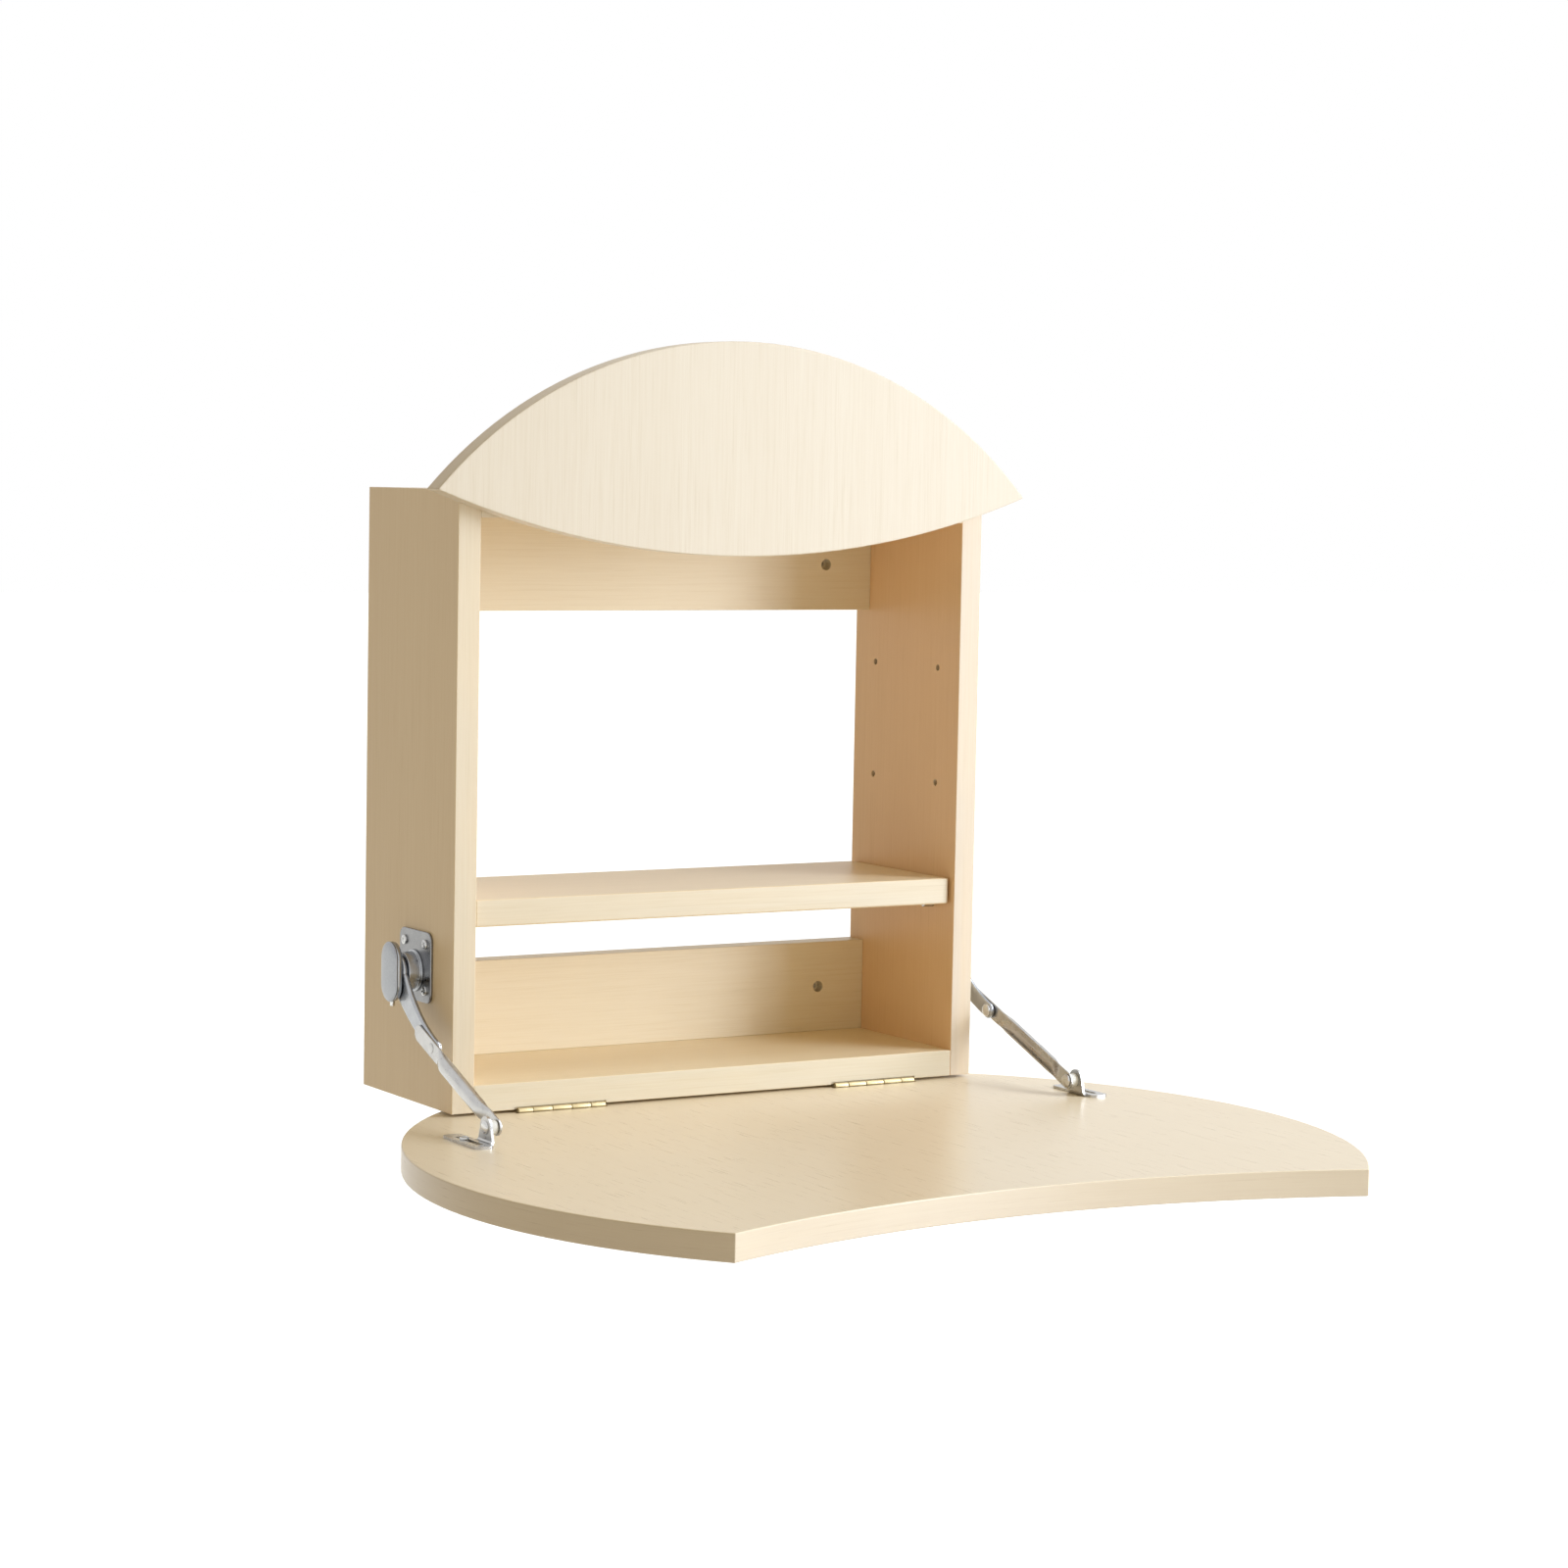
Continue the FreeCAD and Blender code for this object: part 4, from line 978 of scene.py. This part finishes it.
@dataclass
class Damper(SidedPart):
    """The part of a stay on the cabinet's side: plate, screws, hub, drum with its cap, adjusting screw.

    The rounded edges of drum and cap are pairs of steps: how far along X from where the edge starts
    and how far inside the drum's full form.
    """

    face: float = 225.0
    axis_y: float = -90.0
    axis_z: float = -127.0
    plate_y: float = -91.0
    plate_z: float = -123.0
    plate_size: float = 52.0
    plate_corner: float = 7.0
    plate_thickness: float = 2.0
    plate_edge: float = 0.5
    screw_offset: float = 17.0
    hub_end: float = 237.5
    hub_radius: float = 14.0
    hub_rounding: float = 0.6
    flange_radius: float = 15.5
    flange_height: float = 1.6
    axle_radius: float = 5.0
    axle_end: float = 245.5
    drum_start: float = 242.1
    drum_end: float = 246.5
    drum_seam: float = 0.1
    drum_half: float = 13.0
    drum_wall: float = 1.0
    drum_straight: float = 9.0
    drum_foot: tuple[Pair, ...] = ((0, 2.0), (0.3, 1.1), (0.9, 0.4), (1.7, 0.1), (2.3, 0))
    drum_rim: tuple[Pair, ...] = ((-0.4, 0), (-0.1, 0.1), (0, 0.5))
    mouth: float = 8.2
    spigot: float = 6.4
    cap_roll: tuple[Pair, ...] = ((0, 0.4), (0.1, 0.1), (0.35, 0), (0.7, 0), (0.95, 0.2), (1.1, 0.5))
    dome_inset: float = 0.7
    dome_flat: float = 0.2
    dome_closing: float = 3.5
    crown: float = 249.1
    adjuster: float = 244.3

    def mounting_plate(self) -> Patch:
        """Make the square plate with rounded corners.

        Returns:
            The plate.
        """
        half, face = self.plate_size / 2, self.face
        signs = ((-1, -1), (1, -1), (1, 1), (-1, 1))
        corners = [(self.plate_y + a * half, self.plate_z + b * half) for a, b in signs]
        outline = fillet(corners, self.plate_corner, 10)
        return plate(outline, face, face + self.plate_thickness, self.plate_edge)

    def plate_screws(self) -> list[Patch]:
        """Make the four pan-head screws of the plate.

        Returns:
            The screws.
        """
        seat, signs = self.face + self.plate_thickness, np.array([-1, 1])
        rows, columns = self.plate_y + self.screw_offset * signs, self.plate_z + self.screw_offset * signs
        return [PAN_SCREW.turned((seat, float(y), float(z)), (1, 0, 0)) for y in rows for z in columns]

    def hub(self) -> Patch:
        """Turn the flanged hub and the axle that carries the arm and the drum.

        Returns:
            The hub.
        """
        seat = self.face + self.plate_thickness
        flange = seat + self.flange_height
        profile = open_fillet([
            (seat, 0), (seat, self.flange_radius), (flange, self.flange_radius), (flange, self.hub_radius),
            (self.hub_end, self.hub_radius), (self.hub_end, self.axle_radius),
            (self.axle_end, self.axle_radius), (self.axle_end, 0),
        ], self.hub_rounding)
        return revolve(profile, (0, self.axis_y, self.axis_z), steps=72)

    def upright(self, rows: Sequence[Triple], loop: bool = False, caps: bool = False) -> Patch:
        """Stack outlines of two half circles each, one above and one below the damper's axis.

        A row (x, r, s) is the half circle of radius r about the point s above the axis, and the same
        turned by half a turn about the axis, both at a distance x from the middle plane.

        Args:
            rows: Distance, radius and rise of each row.
            loop: Whether the last row joins the first.
            caps: Whether the first and the last row are closed.

        Returns:
            The surface.
        """
        angle = np.linspace(0, math.pi, 40)
        found = []
        for x, radius, straight in rows:
            top = np.stack([radius * np.cos(angle), straight + radius * np.sin(angle)], axis=1)
            line = np.concatenate([top, -top]) + np.array([self.axis_y, self.axis_z])
            found.append(np.insert(line, 0, x, axis=1))
        return Patch(np.stack(found), loop=loop, caps=caps)

    def edge_rows(self, start: float, steps: Sequence[Pair]) -> list[Triple]:
        """Rows of a rounded edge of the drum's form, from where it starts and its steps."""
        return [(start + along, self.drum_half - inside, self.drum_straight) for along, inside in steps]

    def drum(self) -> Patch:
        """Make the upright drum: a mouth for the rotor's sleeve, rounded outer edges, a round chamber.

        Returns:
            The drum.
        """
        low, high = self.drum_start, self.drum_end - self.drum_seam
        floor, chamber = low + self.drum_wall, self.drum_half - self.drum_wall
        return self.upright([
            (low, self.mouth, 0), *self.edge_rows(low, self.drum_foot), *self.edge_rows(high, self.drum_rim),
            (high, chamber, 0), (floor, chamber, 0), (floor, self.mouth, 0),
        ], loop=True)

    def cap(self) -> Patch:
        """Make the cap: a spigot, a rolled rim and a long smooth dome.

        From the rim a row at an angle t stands rise * sin t off it and is drawn in by
        width * (1 - cos t), with the straight part shortened as the dome closes.

        Returns:
            The cap.
        """
        rim, flat, width = self.drum_end, self.dome_flat, self.drum_half - self.dome_inset - self.dome_flat
        lip = rim + self.cap_roll[-1][0]
        dome = [(
            lip + (self.crown - lip) * math.sin(t), flat + width * math.cos(t),
            self.drum_straight - self.dome_closing * (1 - math.cos(t)),
        ) for t in np.linspace(0, math.pi / 2, 16).tolist()]
        foot = [(self.axle_end, self.spigot, 0), (rim, self.spigot, 0)]
        return self.upright([*foot, *self.edge_rows(rim, self.cap_roll), *dome], caps=True)

    def adjusting_screw(self) -> Patch:
        """Make the slotted adjusting screw under the drum."""
        low = self.axis_z - self.drum_straight - self.drum_half
        return ADJUSTING_SCREW.turned((self.adjuster, self.axis_y, low), (0, 0, -1))

    def dress(self) -> None:
        """Make every piece of the damper that stays with the cabinet."""
        done = self.finishes
        for name, patches, material, slot in (
            ("stay_plate", [self.mounting_plate()], done.plate, "stays"),
            ("plate_screws", self.plate_screws(), done.zinc, "stays"),
            ("damper_hub", [self.hub()], done.cast, "stays"),
            ("damper_drum", [self.drum()], done.cast, "stays"),
            ("damper_cap", [self.cap()], done.cap, "caps"),
            ("damper_adjuster", [self.adjusting_screw()], done.bright, "stays"),
        ):
            self.add(name, patches, material, "cabinet", slot)
        finish_node(f"{self.side.tag}_damper_rotor", done.nickel)


@dataclass
class Arms(SidedPart):
    """The two arms of a stay and the rivets at their ends."""

    drum: Pair = (-90.0, -127.0)
    knee: Pair = (-153.0, -175.0)
    pivot: Pair = (-257.0, -215.5)
    head_radius: float = 12.5
    front_bow: float = 7.5
    back_bow: float = 4.0
    eye: float = 6.5
    short_in: float = 237.8
    short_out: float = 241.8
    short_edge: float = 1.8
    long_in: float = 242.1
    strip: float = 1.5
    strip_width: float = 12.5
    strip_edge: float = 0.35
    strip_points: int = 27
    fullness: float = 2.7
    overrun: float = 22.0
    tab: float = 9.0
    run_in: float = 18.0
    rivet: float = 3.0
    rivet_head: float = 5.0
    rivet_rise: float = 1.8
    peened: float = 3.8
    peened_rise: float = 0.7
    bush_radii: tuple[float, float, float, float] = (0.1, 0.5, 0.5, 0.1)
    ear_in: float = 249.9
    ear_out: float = 251.9

    def line_of(self, start: Pair, end: Pair) -> tuple[np.ndarray, float, np.ndarray, np.ndarray]:
        """Measure an arm's own line.

        Args:
            start: Where it starts.
            end: Where it ends.

        Returns:
            The start, the length, the direction and the direction square to it, to the left.
        """
        first, chord = np.asarray(start), np.asarray(end) - np.asarray(start)
        length = float(np.linalg.norm(chord))
        along = chord / length
        return first, length, along, np.array([-along[1], along[0]])

    def bowed(self, start: Pair, end: Pair, bow: float) -> np.ndarray:
        """Draw an arc between two points by its bow.

        At a distance d from the chord's middle the arc is off it by sqrt(r^2 - d^2) - (r - bow), where
        the radius r is (c^2 / 4 + bow^2) / (2 bow) for a chord c.

        Args:
            start: Where it starts.
            end: Where it ends.
            bow: How far its middle is off the chord, to the left of the way it runs.

        Returns:
            Points of the arc.
        """
        first, length, along, left = self.line_of(start, end)
        radius = (length ** 2 / 4 + bow ** 2) / (2 * bow)
        share = np.linspace(0, 1, 36)[:, None]
        rise = np.sqrt(radius ** 2 - ((share - 0.5) * length) ** 2) - (radius - bow)
        return first + share * length * along + rise * left

    def short_outline(self) -> np.ndarray:
        """Draw the short arm's outline: a round head, two bowed edges and a round eye.

        It is worked out in the arm's own line, with u from the drum to the knee and v across. The
        head's arc ends where the upper edge comes out of it.

        Returns:
            Points in Y and Z.
        """
        drum, length, u, v = self.line_of(self.drum, self.knee)
        upper = self.bowed((0, -self.head_radius), (length, -self.eye), self.front_bow)
        upper = upper[np.linalg.norm(upper, axis=1) > self.head_radius + 0.05]
        lower = self.bowed((0, self.head_radius), (length, self.eye), self.back_bow)[::-1]
        way = np.linspace(math.pi / 2, 2 * math.pi + math.atan2(upper[0, 1], upper[0, 0]), 48)
        head = self.head_radius * np.stack([np.cos(way), np.sin(way)], axis=1)
        way = np.linspace(-math.pi / 2, math.pi / 2, 26)
        eye = np.stack([length + self.eye * np.cos(way), self.eye * np.sin(way)], axis=1)
        line = np.concatenate([head, upper[1:], eye, lower[1:]])
        return drum + line[:, :1] * u + line[:, 1:] * v

    def short_arm(self) -> Patch:
        """Give the short arm its thickness and rounded edges."""
        return plate(self.short_outline(), self.short_in, self.short_out, self.short_edge, steps=6)

    def quarter(self, across: float, up: float, start: float) -> np.ndarray:
        """Draw a clockwise quarter of an edge's circle.

        Args:
            across: Place of its centre across the arm.
            up: Distance of its centre from the arm's inner plane.
            start: Angle where it starts, in degrees.

        Returns:
            Points of the quarter.
        """
        way = np.radians(start - np.linspace(0, 90, 5))
        return np.array([across, up]) + self.strip_edge * np.stack([np.cos(way), np.sin(way)], axis=1)

    def vault(self, radius: float) -> np.ndarray:
        """Draw half of a full oval: |x / r| ** n + |y / r| ** n = 1, from its left foot to its right.

        Args:
            radius: Its height and half its width, r in the formula, where n is the fullness.

        Returns:
            Points of the half oval.
        """
        foot = self.strip_edge / radius
        way = np.linspace(foot, math.pi - foot, self.strip_points + 2)[1:-1]
        power = 2 / self.fullness
        x = -np.sign(np.cos(way)) * np.abs(np.cos(way)) ** power
        return radius * np.stack([x, np.sin(way) ** power], axis=1)

    def strip_sections(self) -> tuple[np.ndarray, np.ndarray]:
        """Draw the long arm's two sections point for point: a flat strip and a half-round shell.

        Both run along the outer face, round two edges, back along the inner face and round the two
        other edges. An edge is a quarter circle.

        Returns:
            The strip and the shell, as pairs of place across the arm and distance from its inner plane.
        """
        half, e, thick, count = self.strip_width / 2, self.strip_edge, self.strip, self.strip_points
        thin = half - thick
        across = (half - e) * np.cos(np.linspace(0, math.pi, count + 2)[1:-1])
        flat = np.concatenate([
            np.stack([-across, np.full(count, thick)], axis=1),
            self.quarter(half - e, thick - e, 90), self.quarter(half - e, e, 0),
            np.stack([across, np.zeros(count)], axis=1),
            self.quarter(e - half, e, -90), self.quarter(e - half, thick - e, -180),
        ])
        shell = np.concatenate([
            self.vault(half), self.quarter(half - e, e, 0), self.quarter(thin + e, e, -90),
            self.vault(thin)[::-1], self.quarter(-thin - e, e, 0), self.quarter(e - half, e, -90),
        ])
        return flat, shell

    def long_arm(self) -> Patch:
        """Press the long arm: a closed section carried from behind the knee to the pivot.

        At each station the section is a mean of the flat strip and the half-round shell, with a share
        of the shell that rises smoothly over the run-in. Past each end's centre the section narrows
        as a circle does.

        Returns:
            The arm.
        """
        knee, length, u, v = self.line_of(self.knee, self.pivot)
        half, ramp_end = self.strip_width / 2, self.tab + self.run_in
        end = half * np.cos(np.linspace(0, math.pi / 2, 14))
        stations = np.concatenate([
            -self.overrun - end, np.linspace(-self.overrun, self.tab, 8)[1:],
            self.tab + np.linspace(0, self.run_in, 18)[1:],
            np.linspace(ramp_end, length - ramp_end, 30)[1:-1],
            length - self.tab - np.linspace(self.run_in, 0, 18), length - np.linspace(self.tab, 0, 6)[1:],
            length + end[::-1][1:],
        ])
        past = np.clip(np.minimum(stations + self.overrun, length - stations), -half, 0)
        wide = np.sqrt(np.maximum(half ** 2 - past ** 2, 0)) / half
        share = np.clip((np.minimum(stations, length - stations) - self.tab) / self.run_in, 0, 1)
        share = (share ** 2 * (3 - 2 * share))[:, None, None]
        flat, shell = self.strip_sections()
        section = flat + share * (shell - flat)
        plane = knee + stations[:, None, None] * u + (section[..., 0] * wide[:, None])[..., None] * v
        return Patch(np.concatenate([self.long_in + section[..., 1:], plane], axis=2))

    def domed(self, seat: float, out: int, radius: float, rise: float) -> np.ndarray:
        """Profile of a rivet's head, from its middle to its rim.

        Args:
            seat: Distance of the head's underside from the middle plane.
            out: 1 if the head faces away from the middle, -1 if towards it.
            radius: Radius of the head.
            rise: Height of the head.

        Returns:
            Pairs of distance and radius.
        """
        share = np.linspace(0, math.pi / 2, 12)
        low, rim = 0.2 * rise, 0.1
        crown = np.stack([seat + out * (low + (rise - low) * np.cos(share)), radius * np.sin(share)], axis=1)
        return np.concatenate([crown, [(seat, radius - rim)]])

    def knee_rivet(self, head: np.ndarray, end: float) -> Patch:
        """Turn one half of the knee's rivet from its head's profile and its shank's end."""
        tail = np.array([(head[-1, 0], self.rivet), (end, self.rivet), (end, 0)])
        return revolve(np.concatenate([head, tail]), (0, *self.knee), steps=48)

    def leaf_pivot(self) -> Patch:
        """Turn the rivet on the leaf's bracket, with a domed head at each end.

        Returns:
            The rivet.
        """
        first = self.domed(self.short_out, -1, self.rivet_head, self.rivet_rise)
        last = self.domed(self.ear_out, 1, self.rivet_head, self.rivet_rise)[::-1]
        shank = np.array([(self.short_out, self.rivet), (self.ear_out, self.rivet)])
        return revolve(np.concatenate([first, shank, last]), (0, *self.pivot), steps=48)

    def bush(self) -> Patch:
        """Turn the nylon bush between the long arm and the bracket's ear.

        Returns:
            The bush.
        """
        low, inner, outer = self.long_in + self.strip + RUNNING_GAP, self.rivet, self.rivet_head
        corners = [(low, inner), (low, outer), (self.ear_in, outer), (self.ear_in, inner)]
        return revolve(fillet(corners, self.bush_radii, 5), (0, *self.pivot), steps=48, loop=True)

    def dress(self) -> None:
        """Make the arms and their rivets."""
        short, long, done = f"{self.side.tag}_short_link", f"{self.side.tag}_long_link", self.finishes
        inner_head = self.domed(self.short_in, -1, self.rivet_head, self.rivet_rise)
        outer_head = self.domed(self.long_in + self.strip, 1, self.peened, self.peened_rise)
        for name, patch, material, body, slot in (
            ("short_arm", self.short_arm(), done.cast, short, "stays"),
            ("knee_rivet_inside", self.knee_rivet(inner_head, self.short_out), done.bright, short, "stays"),
            ("long_arm", self.long_arm(), done.nickel, long, "stays"),
            ("knee_rivet_outside", self.knee_rivet(outer_head, self.long_in), done.nickel, long, "stays"),
            ("leaf_pivot", self.leaf_pivot(), done.bright, "leaf", "stays"),
            ("pivot_bush", self.bush(), done.nylon, "leaf", "bush"),
        ):
            self.add(name, [patch], material, body, slot)


@dataclass
class LeafBracket(SidedPart):
    """The bracket on the leaf: a slotted foot and an ear bent up from it, with its screw."""

    inner: float = 249.9
    outer: float = 267.9
    front: float = -276.0
    back: float = -221.0
    top: float = -225.0
    thickness: float = 2.0
    corner: float = 4.0
    corner_points: int = 10
    side_points: int = 58
    bend: float = 1.5
    slot_line: float = 260.65
    slot_radius: float = 2.4
    slot_ends: Pair = (-266.0, -234.0)
    pivot_y: float = -257.0
    pivot_z: float = -215.5
    ear_radius: float = 8.0
    ear_base: float = 11.0
    edge: float = 0.4
    screw_y: float = -243.0

    def foot(self) -> Patch:
        """Make the foot as a ring round its slot.

        Every point of the outer outline is joined square to the slot's line: the slot's own point
        is the nearest on that line, moved out by the slot's radius.

        Returns:
            The foot, closed through its slot.
        """
        start, end, front, back = self.inner + self.thickness + self.bend, self.outer, self.front, self.back
        corners = [(start, front), (end, front), (end, back), (start, back)]
        rounded = fillet(corners, self.corner, self.corner_points)
        y = np.linspace(front + self.corner, back - self.corner, self.side_points + 2)[1:-1]
        first_half = 2 * self.corner_points
        outline = np.concatenate([
            rounded[:first_half], np.insert(y[:, None], 0, end, axis=1),
            rounded[first_half:], np.insert(y[::-1, None], 0, start, axis=1),
        ])
        centre = np.insert(np.clip(outline[:, 1:], *self.slot_ends), 0, self.slot_line, axis=1)
        rim = centre + self.slot_radius * unit(outline - centre)
        low, high = self.top - self.thickness, self.top
        rows = [(outline, low), (outline, high), (rim, high), (rim, low)]
        return Patch(np.stack([np.insert(flat, 2, z, axis=1) for flat, z in rows]), loop=True)

    def ear(self) -> Patch:
        """Carry the ear's section along its bent line.

        The line leaves the foot's mid-plane, turns up through a quarter circle and ends at the
        ear's top. The section is a rectangle whose half width narrows from the base to the pivot's
        height and then follows a circle to nought.

        Returns:
            The closed ear.
        """
        half, middle = self.thickness / 2, self.bend + self.thickness / 2
        upright, level = self.inner + half, self.top - half
        turn = np.linspace(0, math.pi / 2, 12)
        facing = np.stack([np.sin(turn), np.cos(turn)], axis=1)
        bent = np.array([upright + middle, level + middle]) - middle * facing
        heights = np.concatenate([
            np.linspace(level + middle, self.pivot_z, 8)[1:],
            self.pivot_z + self.ear_radius * np.sin(np.linspace(0, math.pi / 2, 16)[1:]),
        ])
        straight = np.stack([np.full(len(heights), upright), heights], axis=1)
        line = np.concatenate([[[upright + middle + 1, level]], bent, straight])
        normal = np.concatenate([[[0, 1]], facing, np.tile([1.0, 0.0], (len(heights), 1))])
        z = line[:, 1]
        narrow = np.clip((z - level) / (self.pivot_z - level), 0, 1)
        wide = self.ear_base + (self.ear_radius - self.ear_base) * narrow
        over = np.sqrt(np.maximum(self.ear_radius ** 2 - (z - self.pivot_z) ** 2, 0))
        wide = np.where(z > self.pivot_z, over, wide)
        corner = np.array([(-1, -half), (1, -half), (1, half), (-1, half)])
        y = self.pivot_y + wide[:, None] * corner[:, 0]
        plane = line[:, None] + corner[:, 1][None, :, None] * normal[:, None]
        return Patch(np.stack([plane[..., 0], y, plane[..., 1]], axis=2), caps=True)

    def dress(self) -> None:
        """Make the bracket and its screw."""
        bracket = [self.foot(), self.ear()]
        self.add("leaf_bracket", bracket, self.finishes.nickel, "leaf", edge=self.edge)
        fixing = PAN_SCREW.turned((self.slot_line, self.screw_y, self.top), (0, 0, 1))
        self.add("bracket_screw", [fixing], self.finishes.zinc, "leaf")


# ---------------------------------------------------------------- studio

def set_up(item: bpy.types.Object, *columns: np.ndarray) -> None:
    """Give an object its right, its up and its back direction and its place, in this order."""
    item.matrix_world = Matrix((*np.stack(columns, axis=1).tolist(), (0, 0, 0, 1)))


@dataclass
class Studio:
    """The pale floor, the surrounding light, the lamps and the camera, in metres."""

    floor_level: float = -0.97
    floor_reach: float = 30.0
    glow_tint: tuple[float, float, float, float] = (0.9, 0.95, 1.0, 1.0)
    glow_starts: float = 0.8
    glow_full: float = 2.6
    least_glow: float = 0.46
    ambient: Triple = (1.0, 0.82, 0.50)
    ambient_strength: float = 0.37
    lamp_tint: Triple = (0.83, 0.90, 1.0)
    lamp_distance: float = 4.0
    aim: Triple = (0.0, -0.2, -0.05)
    camera_place: Triple = (-1.43806, -2.5982, 0.24245)
    camera_turn: Triple = (31.3, 4.69, 1.09)
    lens: float = 87.53
    film: float = 36.0

    def surround(self) -> None:
        """Make the world: soft warm light on the desk, and plain white to the eye and in gloss."""
        world = bpy.data.worlds.new("surround")
        bpy.context.scene.world = world
        world.use_nodes = True
        world.node_tree.nodes.clear()
        sky = Nodes(world.node_tree)
        ambient = {"Color": (*self.ambient, 1.0), "Strength": self.ambient_strength}
        soft = sky.node("ShaderNodeBackground", ambient).outputs[0]
        plain = {"Color": (1.0, 1.0, 1.0, 1.0), "Strength": 1.0}
        white = sky.node("ShaderNodeBackground", plain).outputs[0]
        mixed = sky.node("ShaderNodeMixShader", {0: sky.seen(), 1: soft, 2: white}).outputs[0]
        sky.node("ShaderNodeOutputWorld", {"Surface": mixed})

    def floor(self) -> None:
        """Lay a wide pale floor far under the desk, which still takes its shadow."""
        sheet = Sheet("floor_paint")
        cloud = sheet.noise(sheet.stretched(), 1.5, 2.0)
        colour = sheet.ramp(cloud, [(0.3, (238, 238, 237)), (0.7, (241, 241, 240))])
        place = {0: sheet.coordinates.outputs["Object"]}
        away = sheet.node("ShaderNodeVectorMath", place, operation="LENGTH").outputs["Value"]
        near, far = self.glow_starts, self.glow_full
        rising = {"Value": away, "From Min": near, "From Max": far, "To Min": self.least_glow, "To Max": 1.0}
        spread = sheet.node("ShaderNodeMapRange", rising, clamp=True).outputs["Result"]
        sheet.shade(
            Base_Color=colour, Roughness=0.9, Specular_IOR_Level=0.1, Emission_Color=self.glow_tint,
            Emission_Strength=sheet.math("MULTIPLY", sheet.seen(), spread),
        )
        mesh = bpy.data.meshes.new("floor")
        corners = np.array([[-1, -1], [1, -1], [1, 1], [-1, 1]]) * self.floor_reach
        mesh.from_pydata(np.insert(corners, 2, self.floor_level, axis=1).tolist(), [], [[0, 1, 2, 3]])
        mesh.materials.append(sheet.material)
        floor = linked("floor", mesh)

    def lamp(self, name: str, turn: Pair, size: Pair, power: float) -> None:
        """Hang a soft lamp that faces the desk.

        Args:
            name: Name of the lamp.
            turn: Its angle to the right of straight ahead of the desk and its angle up, in degrees.
            size: Its width and height, in metres.
            power: Its power, in watts.
        """
        data = bpy.data.lights.new(name, "AREA")
        data.shape = "RECTANGLE"
        data.size, data.size_y = size
        data.energy = power
        data.color = self.lamp_tint
        side, rise = (math.radians(angle) for angle in turn)
        level = np.array([math.sin(side), -math.cos(side), 0.0])
        out = level * math.cos(rise) + np.array([0.0, 0.0, math.sin(rise)])
        right = unit(np.cross((0, 0, 1), out))
        place = np.array(self.aim) + out * self.lamp_distance
        set_up(linked(name, data), right, np.cross(out, right), out, place)

    def camera(self) -> None:
        """Set the camera by its place, its turn to the right, its tilt down and its roll."""
        yaw, pitch, roll = (math.radians(angle) for angle in self.camera_turn)
        level = np.array([math.cos(yaw), -math.sin(yaw), 0.0])
        forward = np.array([math.sin(yaw), math.cos(yaw), 0.0])
        ahead = forward * math.cos(pitch) - np.array([0.0, 0.0, math.sin(pitch)])
        up = np.cross(level, ahead)
        right = level * math.cos(roll) + up * math.sin(roll)
        top = -level * math.sin(roll) + up * math.cos(roll)
        data = bpy.data.cameras.new("camera")
        data.lens = self.lens
        data.sensor_width = self.film
        data.clip_end = 200.0
        camera = linked("camera", data)
        set_up(camera, right, top, -ahead, np.array(self.camera_place))
        bpy.context.scene.camera = camera

    def build(self) -> None:
        """Set up the whole studio."""
        bpy.context.scene.view_settings.view_transform = "Standard"
        self.surround()
        self.floor()
        self.lamp("key", (50, 18), (1.4, 2.4), 96.0)
        self.lamp("low_key", (40, 4), (1.4, 2.4), 50.0)
        self.lamp("high_side", (75, 55), (2.5, 2.5), 64.0)
        self.camera()
        LOG.info("studio ready")


def main() -> None:
    """Build the desk's looks and the studio."""
    logging.basicConfig(level=logging.INFO, format="%(name)s: %(message)s")
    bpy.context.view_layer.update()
    finishes = Finishes()
    Boards(finishes).dress()
    ShelfPins(finishes).dress()
    for side in Side:
        for part in (Hinge, Damper, Arms, LeafBracket):
            part(side, finishes).dress()
    Studio().build()


if __name__ == "__main__":
    main()
